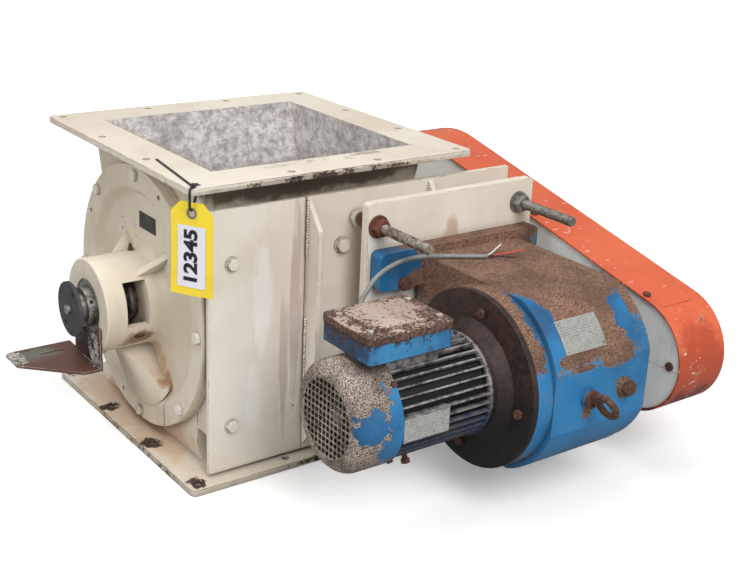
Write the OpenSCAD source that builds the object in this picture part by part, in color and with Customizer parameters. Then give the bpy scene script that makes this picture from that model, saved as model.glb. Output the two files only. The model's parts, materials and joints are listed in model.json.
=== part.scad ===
// Rotary airlock valve with a side-mounted gearmotor and chain drive.
// Origin: centre of the outlet flange's lower face. +Z up through the inlet,
// +X along the rotor axis from the free end to the chain end, drive on the -Y side.
// Millimetres.

/* [Body] */
// Height over the inlet and outlet flanges
body_h = 469.9; // [400:0.1:700]
// Side of the square inlet and outlet flanges
flange_w = 495.3; // [440:0.1:800]
// Flange thickness
flange_t = 9.5; // [6:0.5:20]
// Rotor bore, also the side of the inlet opening
bore_d = 355.6; // [280:0.1:450]
// Body length between the end-cover faces
body_len = 400; // [360:1:600]
// Cast wall thickness
wall_t = 14.2; // [8:0.1:25]
// Outlet opening across the rotor
outlet_w = 300; // [200:1:350]
// Flange bolt hole diameter
bolt_hole_d = 11.1; // [8:0.1:18]

/* [End covers] */
// End cover diameter
cover_d = 419; // [380:1:460]
// Cover flange thickness
cover_t = 10.8; // [6:0.1:20]
// Bearing hub diameter
hub_d = 148; // [120:1:180]
// Bearing hub end, measured from the valve centre
hub_end = 295; // [280:1:320]
// Cover bolt circle diameter
cover_pcd = 394; // [380:1:430]
// Number of cover bolts
cover_bolts = 8; // [6:2:12]

/* [Rotor] */
// Rotor shaft diameter
shaft_d = 45; // [35:1:55]
// Number of vanes
vanes = 8; // [6:1:12]
// Vane plate thickness
vane_t = 10; // [5:1:14]
// Running clearance at the vane tips
tip_gap = 0.3; // [0.1:0.1:1]
// Speed disc diameter
disc_d = 85.6; // [60:0.1:100]

/* [Chain drive] */
// Roller chain pitch
pitch = 19.05; // [12.7:0.05:25.4]
// Teeth on the rotor sprocket
rotor_teeth = 45; // [45]
// Teeth on the gearmotor sprocket
gear_teeth = 15; // [15]
// Centre distance that closes the 80-link chain
centre_dist = 467.39; // [460:0.01:490]
// Drop of the gearmotor axis below the rotor axis
drop = 25.2; // [0:0.1:60]
// Guard width along the shafts
guard_w = 102; // [60:1:140]
// Guard radius round the rotor sprocket
guard_r1 = 174; // [165:1:200]
// Guard radius round the gearmotor sprocket
guard_r2 = 93; // [80:0.5:120]

/* [Motor mounting] */
// Thickness of the sliding motor plate
plate_t = 16; // [10:1:25]
// Take-up stud diameter
stud_d = 15.9; // [12:0.1:20]
// Length of the take-up studs from the fixed plate
stud_len = 189; // [150:1:230]
// Thickness of the fixed bracket plate
bracket_t = 8; // [6:1:14]

/* [Gearmotor] */
// Gear case height
case_h = 262; // [220:1:300]
// Gear case corner radius, measured from the shaft axis
case_r = 141; // [135:1:160]
// Motor flange and adapter diameter
mflange_d = 263; // [200:1:280]
// Motor diameter over the fins
fin_d = 150; // [120:1:170]
// Number of cooling fins
fins = 36; // [24:1:48]
// Fan cowl diameter
cowl_d = 157; // [140:1:180]
// Motor cable diameter
cable_d = 7; // [5:0.5:12]

/* [Tag] */
// Width of the hanging tag
tag_w = 67; // [40:1:80]
// Height of the hanging tag
tag_h = 133; // [80:1:160]

/* [View] */
// Sub-part to show

/* [Hidden] */
$fn = 64;
eps = 0.05;
cream = [0.86, 0.81, 0.73];
bare = [0.60, 0.60, 0.60];
steel = [0.55, 0.55, 0.56];
rust = [0.42, 0.27, 0.19];
blue = [0.16, 0.49, 0.72];
orange = [0.88, 0.42, 0.25];
dark = [0.17, 0.17, 0.18];
silver = [0.78, 0.78, 0.78];
yellow = [0.86, 0.75, 0.20];

axis_z = body_h / 2 - 6.35;
bore_r = bore_d / 2;
body_r = bore_r + wall_t;
half_len = body_len / 2;
bolt_sq = flange_w - 38.1;
hole_pitch = bolt_sq / 3;
throat_y = bore_r * 0.7875;
throat_z = sqrt(bore_r * bore_r - throat_y * throat_y);
neck_x = bore_r + 13.2;
cover_x = half_len + cover_t;
web_x = cover_x - 15;
spigot_x = half_len - 20;
hub_r = hub_d / 2;
shaft_r = shaft_d / 2;
bearing_or = shaft_r + 20;
bearing_ir = shaft_r + 10.5;
sensor_drop = bearing_or - 3.9;
box_r = shaft_r + 10;
gland_x = web_x + 30.2;
pitch_r1 = pitch / (2 * sin(180 / rotor_teeth));
pitch_r2 = pitch / (2 * sin(180 / gear_teeth));
gear_z = axis_z - drop;
gear_y = -sqrt(centre_dist * centre_dist - drop * drop);
drive_a = atan2(-drop, gear_y);
chain_x = 430;
guard_x0 = 385;
guard_x1 = guard_x0 + guard_w;
guard_y1 = 70;
guard_z1 = axis_z + 7.8;
guard_y2 = gear_y - 33.5;
guard_z2 = gear_z - 13.4;
panel_y = -(cover_d / 2 + 11.5);
bracket_y = panel_y + bracket_t;
panel_top = body_h - 44.4;
plate_y = panel_y - 41;
plate_f = plate_y - plate_t;
plate_top = body_h - 50.4;
stud_r = stud_d / 2;
stud_x = [46, 324.5];
stud_z = [plate_top - 36.5, gear_z - 53.4];
rail_t = 25;
case_top = gear_z + case_h / 2;
case_front = plate_f - 322;
case_rear = plate_f - 12;
case_x0 = 118;
case_x1 = 285;
mflange_r = mflange_d / 2;
fin_r = fin_d / 2;
cowl_r = cowl_d / 2;
panel_bolts = [[-169, axis_z + 115.4], [-169, axis_z - 141.6]];
bracket_bolt_at = [
    [20.4, axis_z + 114.4], [20.4, axis_z - 141.6],
    [150, axis_z + 114.4], [150, axis_z - 141.6]];
// pads on the body: x from, x to, z from, z to, face offset from the panel face
pads = [
    [-190, -148, 60, axis_z + 143, 6], [-84, -50, 60, axis_z + 170, 6],
    [-30, 72, 60, axis_z + 178, bracket_t], [120, 180, 60, axis_z + 150, bracket_t]];
gland_z = gear_z + 99.6;
tie_at = 9.15 - flange_w / 2;
guard_posts = [20, 160, 220, 320];
post_r = bore_r - 37.8;
cover_plate_z = axis_z + (hub_r + bore_r) / 2 - 18.5;
foot_at = [for (x = [81, 328]) for (s = [1, -1]) [x, gear_z + s * 92.6]];

// ---- shared shapes ----

module rod_x(r, x0, x1, y = 0, z = 0)
    translate([x0, y, z]) rotate([0, 90, 0]) cylinder(r = r, h = x1 - x0);

module rod_y(r, y0, y1, x = 0, z = 0)
    translate([x, y1, z]) rotate([90, 0, 0]) cylinder(r = r, h = y1 - y0);

module rod_z(r, z0, z1, x = 0, y = 0)
    translate([x, y, z0]) cylinder(r = r, h = z1 - z0);

// a flat (y, z) drawing extruded along +X from x0 to x1
module slab_x(x0, x1)
    translate([x0, 0, 0]) rotate([90, 0, 90]) linear_extrude(height = x1 - x0) children();

// a flat (x, z) drawing extruded from y1 down to y0
module slab_y(y0, y1)
    translate([0, y1, 0]) rotate([90, 0, 0]) linear_extrude(height = y1 - y0) children();

module rounded(w, h, r) {
    square([w - 2 * r, h], center = true);
    square([w, h - 2 * r], center = true);
    for (x = [-1, 1]) for (y = [-1, 1])
        translate([x * (w / 2 - r), y * (h / 2 - r)]) circle(r);
}

// hexagon head or nut, chamfered at the end away from its seat
module hexagon(r, h) intersection() {
    cylinder(r = r, h = h, $fn = 6);
    cylinder(r1 = 0.85 * r + 1.7 * h, r2 = 0.85 * r, h = h);
}

// hexagon bolt: head towards +Z, underside of the washer at z = 0
module bolt(d, grip, washer = 0) {
    if (washer > 0) cylinder(r = 1.1 * d, h = washer);
    translate([0, 0, washer]) hexagon(0.95 * d, 0.65 * d);
    translate([0, 0, -grip]) cylinder(r = d / 2, h = grip + washer + 0.1);
}

// point on a circle about the rotor axis; 0 degrees faces -Y, 90 degrees is up
function on_axis(r, a) = [-r * cos(a), axis_z + r * sin(a)];

module flange_plate(z)
    translate([0, 0, z]) linear_extrude(height = flange_t) rounded(flange_w, flange_w, 10);

module flange_holes(z0, z1)
    for (i = [0:3]) for (j = [0:3])
        if (i == 0 || i == 3 || j == 0 || j == 3)
            rod_z(bolt_hole_d / 2, z0, z1, (i - 1.5) * hole_pitch, (j - 1.5) * hole_pitch);

// ---- valve body ----

module pad(p)
    translate([p[0], panel_y + p[4], p[2]])
        cube([p[1] - p[0], -panel_y - p[4] - 150, p[3] - p[2]]);

module outlet_neck_2d() {
    y = outlet_w / 2 + 6;
    polygon(concat(
        [[-y, axis_z - 100]],
        [for (a = [0:15:90]) [-y - 26 + 26 * cos(a), flange_t + 26 - 26 * sin(a)]],
        [[-y - 26, 2], [y + 26, 2]],
        [for (a = [90:-15:0]) [y + 26 - 26 * cos(a), flange_t + 26 - 26 * sin(a)]],
        [[y, axis_z - 100]]));
}

module inlet_neck_2d(t, top) {
    rise = top - axis_z - throat_z;
    slope = (bore_r - throat_y) / (body_h - axis_z - throat_z);
    yt = throat_y + slope * rise + t;
    yb = throat_y - 0.2 * slope * rise + t;
    zb = axis_z + throat_z - 0.2 * rise;
    polygon([[-yt, top], [yt, top], [yb, zb], [-yb, zb]]);
}

module housing() color(cream) difference() {
    union() {
        flange_plate(0);
        flange_plate(body_h - flange_t);
        rod_x(body_r, -half_len, half_len, 0, axis_z);
        for (s = [0, 1]) mirror([s, 0, 0])
            rod_x(cover_d / 2, half_len - 18, half_len, 0, axis_z);
        slab_x(-neck_x, neck_x) inlet_neck_2d(wall_t, body_h - 2);
        slab_x(-neck_x, neck_x) outlet_neck_2d();
        for (p = pads) pad(p);
    }
    rod_x(bore_r, -half_len - 1, half_len + 1, 0, axis_z);
    slab_x(-bore_r, bore_r) inlet_neck_2d(0, body_h + 1);
    slab_x(-bore_r, bore_r) polygon([
        [-throat_y, axis_z - throat_z + 10], [-outlet_w / 2, -1],
        [outlet_w / 2, -1], [throat_y, axis_z - throat_z + 10]]);
    flange_holes(-1, flange_t + 1);
    flange_holes(body_h - flange_t - 1, body_h + 1);
    for (s = [0, 1]) mirror([s, 0, 0]) for (k = [0:cover_bolts - 1]) {
        p = on_axis(cover_pcd / 2, k * 360 / cover_bolts);
        rod_x(5.1, half_len - 19, half_len + 1, p[0], p[1]);
    }
    for (b = panel_bolts) rod_y(5.1, panel_y - 1, panel_y + 31, b[0], b[1]);
    for (b = bracket_bolt_at) rod_y(6.1, panel_y - 1, panel_y + 33, b[0], b[1]);
}

// revolved section of an end cover, drawn as (radius, distance from the valve centre)
module cover_section() polygon(concat(
    [[shaft_r + 1.5, spigot_x], [bore_r - 0.1, spigot_x], [bore_r - 0.1, half_len],
     [cover_d / 2, half_len], [cover_d / 2, cover_x]],
    [for (a = [0:20:180]) [bore_r + 0.2 - a / 9, web_x + (cover_x - web_x) * (1 + cos(a)) / 2]],
    [for (a = [0:15:90]) [hub_r + 14 - 14 * sin(a), web_x + 14 - 14 * cos(a)]],
    [[hub_r, hub_end - 2], [hub_r - 2, hub_end], [bearing_or, hub_end],
     [bearing_or, hub_end - 24], [bearing_or - 5.5, hub_end - 24],
     [bearing_or - 5.5, hub_end - 30], [hub_r - 12, hub_end - 30],
     [hub_r - 12, gland_x], [box_r, gland_x], [box_r, web_x + 0.2],
     [shaft_r + 1.5, web_x + 0.2]]));

module rib(a, pts, t)
    translate([0, 0, axis_z]) rotate([a, 0, 0]) translate([0, t / 2, 0])
        rotate([90, 0, 0]) linear_extrude(height = t) polygon(pts);

module end_cover() difference() {
    union() {
        translate([0, 0, axis_z]) rotate([0, 90, 0]) rotate_extrude() cover_section();
        difference() {
            union() {
                rib(180, [[spigot_x + 5, hub_r - 4], [250, hub_r - 4],
                    [cover_x, bore_r - 1.8], [spigot_x + 5, bore_r - 17.8]], 14);
                for (a = [40, -40]) rib(a, [[spigot_x + 5, hub_r - 4],
                    [240, hub_r - 4], [web_x, 112], [spigot_x + 5, 112]], 10);
            }
            rod_x(hub_r - 6, spigot_x - 1, hub_end, 0, axis_z);
        }
    }
    for (s = [0, 1]) mirror([0, s, 0])
        translate([gland_x, -hub_r - 6, axis_z - 18.6]) cube([hub_end - 32 - gland_x, 40, 67]);
    for (k = [0:cover_bolts - 1]) {
        p = on_axis(cover_pcd / 2, k * 360 / cover_bolts);
        rod_x(5.1, half_len - 1, cover_x + 1, p[0], p[1]);
    }
    for (a = [67, 151, 251]) {
        p = on_axis(196, a);
        rod_x(4, half_len - 1, cover_x + 1, p[0], p[1]);
    }
    for (s = [-1, 1]) rod_x(4.1, gland_x - 12, gland_x + 1, 0, axis_z + s * 46);
    translate([215, 0, axis_z]) rotate([-10.5, 0, 0]) rod_z(3.1, hub_r - 8, hub_r + 1);
}

module end_cover_nde() color(cream) mirror([1, 0, 0]) difference() {
    end_cover();
    for (y = [-30, 30]) rod_x(3.1, hub_end - 14, hub_end + 1, y, axis_z - sensor_drop);
}

module end_cover_de() color(cream) difference() {
    end_cover();
    for (a = guard_posts) {
        p = on_axis(post_r, a);
        rod_x(5.1, web_x - 12, web_x + 1, p[0], p[1]);
    }
}

module cover_bolt_ring() for (k = [0:cover_bolts - 1]) {
    p = on_axis(cover_pcd / 2, k * 360 / cover_bolts);
    translate([cover_x, p[0], p[1]]) rotate([0, 90, 0]) bolt(10, cover_t + 14);
}

module cover_bolts_nde() color(cream) mirror([1, 0, 0]) cover_bolt_ring();

module cover_bolts_de() color(cream) cover_bolt_ring();

module both_ends() {
    children();
    mirror([1, 0, 0]) children();
}

module ring_x(r0, r1, x0, x1) difference() {
    rod_x(r1, x0, x1, 0, axis_z);
    rod_x(r0, x0 - 1, x1 + 1, 0, axis_z);
}

module bearing_outers() color(steel) both_ends()
    ring_x(bearing_ir, bearing_or - eps, hub_end - 23.5, hub_end - 1.5);

module bearing_inners() color(steel) both_ends() difference() {
    union() {
        rod_x(bearing_ir - eps, hub_end - 23.5, hub_end - 1.5, 0, axis_z);
        rod_x(shaft_r + 8.5, hub_end - 2, hub_end + 11, 0, axis_z);
    }
    rod_x(shaft_r + eps, hub_end - 25, hub_end + 12, 0, axis_z);
    translate([hub_end + 5, 0, axis_z]) rotate([60, 0, 0]) rod_z(3, shaft_r - 2, shaft_r + 12);
}

module shaft_packing() color(dark) both_ends() for (k = [0:3])
    ring_x(shaft_r + eps, box_r - 0.1, web_x + 0.6 + 6 * k, web_x + 6.2 + 6 * k);

module packing_glands() color(bare) both_ends() {
    difference() {
        union() {
            rod_x(box_r - 0.2, gland_x - 5.6, gland_x + 6, 0, axis_z);
            slab_x(gland_x + 5, gland_x + 13) translate([0, axis_z]) {
                circle(shaft_r + 12);
                square([20, 92], center = true);
                for (s = [-1, 1]) translate([0, s * 46]) circle(10);
            }
        }
        rod_x(shaft_r + 0.8, gland_x - 7, gland_x + 14, 0, axis_z);
        for (s = [-1, 1]) rod_x(4.2, gland_x, gland_x + 14, 0, axis_z + s * 46);
    }
    for (s = [-1, 1]) {
        rod_x(4, gland_x - 11, gland_x + 26, 0, axis_z + s * 46);
        translate([gland_x + 13, 0, axis_z + s * 46]) rotate([0, 90, 0]) hexagon(7.5, 6.5);
    }
}

module grease_nipples() color(steel) both_ends()
    translate([215, 0, axis_z]) rotate([-10.5, 0, 0]) {
        rod_z(3, hub_r - 7, hub_r + 1);
        translate([0, 0, hub_r + 0.2]) cylinder(r = 5, h = 4, $fn = 6);
        translate([0, 0, hub_r + 4]) cylinder(r1 = 3.4, r2 = 2.4, h = 7);
    }

module cover_nameplate() color(dark) translate([-web_x - 1, -36, cover_plate_z])
    cube([1, 55, 26]);

// ---- rotor ----

module rotor_shaft() color(steel) difference() {
    union() {
        rod_x(shaft_r, -320, chain_x + 40, 0, axis_z);
        rod_x(37.5, 2 - spigot_x, spigot_x - 2, 0, axis_z);
    }
    rod_x(4.1, -321, -298, 0, axis_z);
    translate([chain_x - 19, -7.05, axis_z + shaft_r - 5.5]) cube([38.1, 14.1, 9]);
}

module rotor_key() color(steel) translate([chain_x - 18.9, -7, axis_z + shaft_r - 5.4])
    cube([37.9, 14, 9]);

module rotor_vanes() color(bare) difference() {
    union() {
        rod_x(48, 2 - spigot_x, spigot_x - 2, 0, axis_z);
        translate([0, 0, axis_z]) for (k = [0:vanes - 1]) rotate([(k + 0.5) * 360 / vanes, 0, 0])
            translate([2 - spigot_x, -vane_t / 2, 46])
                cube([2 * spigot_x - 4, vane_t, bore_r - 58]);
    }
    rod_x(37.5 + eps, -spigot_x, spigot_x, 0, axis_z);
}

module rotor_tips() color(steel) translate([0, 0, axis_z]) for (k = [0:vanes - 1])
    rotate([(k + 0.5) * 360 / vanes, 0, 0]) intersection() {
        translate([2 - spigot_x, vane_t / 2, bore_r - 50]) cube([2 * spigot_x - 4, 8, 60]);
        rod_x(bore_r - tip_gap, -spigot_x, spigot_x);
    }

module speed_disc() color(dark) difference() {
    rod_x(disc_d / 2, -325, -320, 0, axis_z);
    rod_x(4.1, -326, -319, 0, axis_z);
    for (s = [0, 180]) translate([-326, 0, axis_z]) rotate([s + 30, 0, 0])
        translate([0, 0, 30]) rotate([0, 90, 0]) cylinder(r = 4, h = 8);
}

module disc_screw() color(steel) {
    rod_x(4, -325.5, -300, 0, axis_z);
    rod_x(7.5, -330, -325, 0, axis_z);
}

// ---- speed sensor bracket ----

module sensor_bracket() color(rust) difference() {
    union() {
        slab_x(-hub_end - 4, -hub_end) difference() {
            translate([-50, axis_z - 90.6]) square([95, 68]);
            translate([0, axis_z]) circle(bearing_or + 0.7);
        }
        translate([0, 0, axis_z - 90.6]) linear_extrude(height = 4) polygon([
            [-hub_end, 79], [-hub_end, -50], [-hub_end - 30, -50], [-hub_end - 107, 25],
            [-hub_end - 107, 73], [-hub_end - 98, 79]]);
    }
    for (y = [-30, 30]) rod_x(3.2, -hub_end - 5, -hub_end + 1, y, axis_z - sensor_drop);
    translate([-350, 46, axis_z - 92]) cube([32, 8, 8]);
    for (x = [-350, -318]) rod_z(4, axis_z - 92, axis_z - 84, x, 50);
}

module sensor_bracket_bolts() color(rust) for (y = [-30, 30])
    translate([-hub_end - 4, y, axis_z - sensor_drop]) rotate([0, -90, 0]) bolt(6, 16);

// ---- side panel and motor bracket ----

module side_panel() color(cream) difference() {
    translate([-207, panel_y, 14]) cube([162.5, 6, panel_top - 14]);
    for (b = panel_bolts) rod_y(5.2, panel_y - 1, panel_y + 7, b[0], b[1]);
}

module side_panel_bolts() color(cream) for (b = panel_bolts)
    translate([b[0], panel_y, b[1]]) rotate([90, 0, 0]) bolt(10, 30, 2);

module gusset(x, depth) slab_x(x, x + 8) polygon([
    [panel_y + 1, panel_top], [panel_y - depth, panel_top - 45],
    [panel_y - depth, 60], [panel_y + 1, 20]]);

module motor_bracket() color(cream) difference() {
    union() {
        translate([-43.5, panel_y, 14]) cube([393.5, bracket_t, panel_top - 14]);
        gusset(-43.5, 33);
        gusset(183, 29);
    }
    for (b = bracket_bolt_at) rod_y(6.2, panel_y - 1, bracket_y + 1, b[0], b[1]);
    for (x = stud_x) for (z = stud_z) rod_y(stud_r + eps, panel_y - 1, bracket_y + 1, x, z);
    for (z = [axis_z + 22, axis_z + 56]) rod_y(5.1, panel_y - 1, bracket_y + 1, 330, z);
}

module bracket_bolts() color(cream) {
    for (b = bracket_bolt_at) translate([b[0], panel_y, b[1]]) rotate([90, 0, 0])
        bolt(12, 32, 2.5);
    for (x = stud_x) for (z = stud_z) difference() {
        translate([x, panel_y, z]) rotate([90, 0, 0]) hexagon(13.7, 12);
        rod_y(stud_r + eps, panel_y - 13, panel_y + 1, x, z);
    }
}

module takeup_studs() color(steel) for (x = stud_x) for (k = [0, 1])
    rod_y(stud_r, bracket_y - stud_len + 45 * k, bracket_y, x, stud_z[k]);

module takeup_nuts() color(steel) for (x = stud_x) for (z = stud_z) difference() {
    union() {
        rod_y(17.5, plate_f - 3, plate_f, x, z);
        rod_y(17.5, plate_y, plate_y + 3, x, z);
        translate([x, plate_f - 3, z]) rotate([90, 0, 0]) hexagon(13.7, 13);
        translate([x, plate_y + 3, z]) rotate([-90, 0, 0]) hexagon(13.7, 13);
    }
    rod_y(stud_r + eps, plate_f - 20, plate_y + 20, x, z);
}

module motor_plate() color(cream) difference() {
    slab_y(plate_f, plate_y) translate([191, (plate_top + 50) / 2])
        rounded(326, plate_top - 50, 6);
    for (x = stud_x) for (z = stud_z) rod_y(stud_r + 0.6, plate_f - 1, plate_y + 1, x, z);
    for (f = foot_at) rod_y(6.1, plate_f - 1, plate_y + 1, f[0], f[1]);
}

// ---- gear unit ----

// round case with flats on its front, top and underside
module case_2d(inset = 0, rear = case_rear) {
    z0 = case_top - case_h + inset;
    h = case_h - 2 * inset;
    intersection() {
        translate([gear_y, gear_z]) circle(case_r - inset, $fn = 128);
        translate([case_front + inset, z0]) square([400, h]);
    }
    translate([gear_y, z0]) square([rear - gear_y, h]);
}

module gear_case() color(blue) difference() {
    union() {
        slab_x(case_x0, case_x1) case_2d();
        for (s = [1, -1]) slab_y(plate_f - rail_t, plate_f)
            translate([192.5, gear_z + s * 113.6]) rounded(315, 60, 10);
        for (x = [184, 256]) rod_y(14, case_front - 6, case_front + 10, x, gear_z);
    }
    rod_x(19.2, case_x1 - 60, case_x1 + 1, gear_y, gear_z);
    rod_x(20, case_x0 - 1, case_x0 + 30, gear_y, gear_z);
    rod_y(6.1, case_front - 7, case_front + 20, 184, gear_z);
    rod_y(8.1, case_front - 7, case_front + 14, 256, gear_z);
    for (f = foot_at) rod_y(6.2, plate_f - rail_t - 1, plate_f + 1, f[0], f[1]);
    for (p = cover_screw_at) rod_x(4.1, case_x1 - 16, case_x1 + 1, p[0], p[1]);
}

cover_screw_at = concat(
    [for (s = [1, -1]) [case_rear - 34, gear_z + s * (case_h / 2 - 14)]],
    [for (a = [90:45:270]) [gear_y + 117 * cos(a), gear_z + 117 * sin(a)]]);

module gear_cover() color(blue) difference() {
    union() {
        slab_x(case_x1, case_x1 + 20) case_2d(2, case_rear - 13.4);
        rod_x(60, case_x1 + 19, case_x1 + 50, gear_y, gear_z);
    }
    rod_x(19 + eps, case_x1 - 1, case_x1 + 51, gear_y, gear_z);
    for (p = cover_screw_at) rod_x(4.2, case_x1 - 1, case_x1 + 21, p[0], p[1]);
}

module gear_bolts() color(steel) {
    for (f = foot_at) translate([f[0], plate_f - rail_t, f[1]]) rotate([90, 0, 0])
        bolt(12, rail_t + plate_t);
    for (p = cover_screw_at) translate([case_x1 + 20, p[0], p[1]]) rotate([0, 90, 0])
        bolt(8, 34);
}

module gear_plugs() color(rust) {
    translate([256, case_front - 6, gear_z]) rotate([90, 0, 0]) {
        translate([0, 0, -18]) cylinder(r = 8, h = 18.1);
        hexagon(12, 8);
    }
    translate([-55, gear_y, gear_z]) rotate([-22.3, 0, 0]) {
        rod_z(4, -fin_r - 14, -fin_r + 9);
        translate([0, 0, -fin_r - 13]) cylinder(r = 7, h = 6, $fn = 6);
    }
}

module gear_eyebolt() color(rust) {
    rod_y(6, case_front - 24, case_front + 18, 184, gear_z);
    rod_y(13, case_front - 11, case_front - 6, 184, gear_z);
    translate([184, case_front - 36, gear_z]) rotate([0, 65, 0])
        rotate_extrude() translate([16, 0]) circle(5);
}

// thin plate bent to the round of the case
module gear_nameplate() color(silver) translate([181, gear_y, gear_z]) rotate([51, 0, 0])
    intersection() {
        rotate([0, 90, 0]) difference() {
            cylinder(r = case_r + 1.1, h = 77, center = true, $fn = 256);
            cylinder(r = case_r + 0.1, h = 79, center = true, $fn = 256);
        }
        translate([-38.5, -25, case_r - 10]) cube([77, 50, 20]);
    }

module gear_shaft() color(steel) difference() {
    rod_x(19, case_x1 - 55, chain_x + 40, gear_y, gear_z);
    translate([chain_x - 17, gear_y - 5.05, gear_z + 14]) cube([34.1, 10.1, 8]);
}

module gear_key() color(steel) translate([chain_x - 16.9, gear_y - 5, gear_z + 14.1])
    cube([33.9, 10, 8]);

module adapter_flange() color(blue) difference() {
    rod_x(mflange_r, 91, case_x0, gear_y, gear_z);
    rod_x(50, 90, case_x0 + 1, gear_y, gear_z);
    adapter_holes(4.1);
}

module adapter_holes(r) for (k = [0:3]) rotate_about(83 + 90 * k, 105)
    rotate([0, 90, 0]) translate([0, 0, 80]) cylinder(r = r, h = 31);

// children placed on a circle about the gearmotor axis; 0 degrees faces -Y, 90 is up
module rotate_about(a, r) translate([0, gear_y - r * cos(a), gear_z + r * sin(a)]) children();

module adapter_bolts() color(rust) for (k = [0:3]) rotate_about(83 + 90 * k, 105)
    translate([82, 0, 0]) rotate([0, -90, 0]) bolt(8, 27);

// ---- motor ----

module motor_frame() color(blue) difference() {
    union() {
        rod_x(64, -104, 63, gear_y, gear_z);
        rod_x(76.2, -104, -97, gear_y, gear_z);
        translate([0, gear_y, gear_z]) for (k = [0:fins - 1]) rotate([k * 360 / fins, 0, 0])
            translate([-104, -1.3, 60]) cube([166, 2.6, fin_r - 60]);
        rod_x(fin_r + 1, 54, 66, gear_y, gear_z);
        translate([66, gear_y, gear_z]) rotate([0, 90, 0]) cylinder(r1 = fin_r + 1, r2 = 92, h = 17);
        rod_x(mflange_r, 82, 91, gear_y, gear_z);
        translate([-96, gear_y - fin_r - 1.5, gear_z - 24]) cube([77, 30, 38]);
        translate([-96, -498, gear_z + 40]) cube([88, 70, 47.6]);
    }
    rod_x(55, -97, 54, gear_y, gear_z);
    rod_x(9.5 + eps, -105, 92, gear_y, gear_z);
    adapter_holes(4.2);
    translate([-55, gear_y, gear_z]) rotate([-22.3, 0, 0]) rod_z(4.1, -fin_r - 1, -fin_r + 10);
    for (a = [45, 135, 225, 315]) translate([-100.5, gear_y, gear_z]) rotate([a, 0, 0])
        rod_z(2.1, 66, 78);
}

module motor_stator() color(rust) translate([0, gear_y, gear_z - axis_z]) {
    ring_x(38, 54.9, -66, 34);
    ring_x(42, 52, -84, -66);
    ring_x(42, 52, 34, 50);
}

module motor_rotor() color(steel) {
    rod_x(9.5, -150, 130, gear_y, gear_z);
    rod_x(37.5, -66, 34, gear_y, gear_z);
}

module cooling_fan() color(dark) difference() {
    union() {
        rod_x(15, -150, -120, gear_y, gear_z);
        rod_x(66, -123, -120, gear_y, gear_z);
        translate([0, gear_y, gear_z]) for (k = [0:6]) rotate([k * 360 / 7, 0, 0])
            translate([-150, -1.25, 12]) cube([28, 2.5, 54]);
    }
    rod_x(9.5 + eps, -151, -119, gear_y, gear_z);
}

module cowl_2d(t) {
    r = 20 - t;
    translate([0, 97]) square([cowl_r - t, 50]);
    translate([0, 146]) square([cowl_r - 20, 21 - t]);
    translate([cowl_r - 20, 147]) circle(r);
}

module fan_cowl() color(rust) translate([0, gear_y, gear_z]) difference() {
    rotate([0, -90, 0]) rotate_extrude() difference() {
        intersection() {
            cowl_2d(0);
            translate([0, 97]) square([200, 100]);
        }
        cowl_2d(2);
        translate([0, 90]) square([cowl_r - 2, 20]);
        translate([0, 150]) square([56.5, 30]);
    }
    for (a = [45, 135, 225, 315]) translate([-100.5, 0, 0]) rotate([a, 0, 0])
        rod_z(2.2, 70, 90);
}

module cowl_grille() color(silver) slab_x(-167, -165.4) translate([gear_y, gear_z])
    intersection() {
        circle(56.2);
        union() {
            difference() {
                circle(57);
                circle(54.5);
            }
            for (k = [-6:6]) {
                translate([k * 9 - 0.8, -60]) square([1.6, 120]);
                translate([-60, k * 9 - 0.8]) square([120, 1.6]);
            }
        }
    }

module cowl_screws() color(steel) for (a = [45, 135, 225, 315])
    translate([-100.5, gear_y, gear_z]) rotate([a, 0, 0]) {
        rod_z(2, 68, cowl_r + 0.5);
        rod_z(4.5, cowl_r, cowl_r + 2.6);
    }

module motor_nameplate() color(silver)
    translate([-96, gear_y - fin_r - 2.7, gear_z - 21.4]) cube([76, 1.2, 33]);

module terminal_box() color(blue) difference() {
    translate([-69, -463, gear_z + 87.6]) linear_extrude(height = 27) rounded(138, 112, 8);
    translate([-69, -463, gear_z + 93]) linear_extrude(height = 27) rounded(126, 100, 5);
    rod_y(9.2, -420, -400, -50, gland_z);
    for (x = [-124, -10]) for (y = [-498, -428]) rod_z(2.6, gear_z + 90, gear_z + 116, x, y);
}

module terminal_cover() color(rust) difference() {
    union() {
        translate([-69, -463, gear_z + 114.6]) linear_extrude(height = 10) rounded(140, 114, 9);
        translate([-69, -463, gear_z + 124]) linear_extrude(height = 4.6) rounded(100, 82, 10);
    }
    for (x = [-124, -10]) for (y = [-498, -428]) rod_z(2.6, gear_z + 114, gear_z + 126, x, y);
}

module terminal_screws() color(steel) for (x = [-124, -10]) for (y = [-498, -428])
    translate([x, y, gear_z + 124.6]) {
        rod_z(4.6, 0, 3);
        rod_z(2.5, -30, 0.1);
    }

module cable_gland() color(dark) difference() {
    union() {
        rod_y(9, -414, -406.5, -50, gland_z);
        translate([-50, -398, gland_z]) rotate([90, 0, 0]) cylinder(r = 12, h = 9, $fn = 6);
        rod_y(8.5, -398.5, -387, -50, gland_z);
    }
    rod_y(cable_d / 2 + 0.1, -415, -388, -50, gland_z);
}

// ---- loose motor cable ----

cable_at = [
    [-50, -387, 303], [-50, -380, 303], [-48, -372, 305.5], [-43, -365, 309.5],
    [-36, -360, 315], [-27, -357, 321.5], [-17, -354, 330.5], [-2, -351, 339.5],
    [18, -347, 345.5], [39, -343, 348.5], [61, -339, 348.5], [84, -334, 346],
    [106, -329, 342], [127, -328, 338.2], [143, -335, 338], [160, -346, 338],
    [177, -355, 338], [191, -362, 338]];
core_at = [
    [[193, -360.8, 339], [204, -358, 341], [217, -352, 343], [234, -344, 345]],
    [[193, -362.3, 336.6], [208, -365, 338.5], [230, -370, 340], [252, -375, 342]],
    [[193, -363.8, 339], [202, -373, 340], [211, -386, 341], [220, -397, 342]]];

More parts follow.
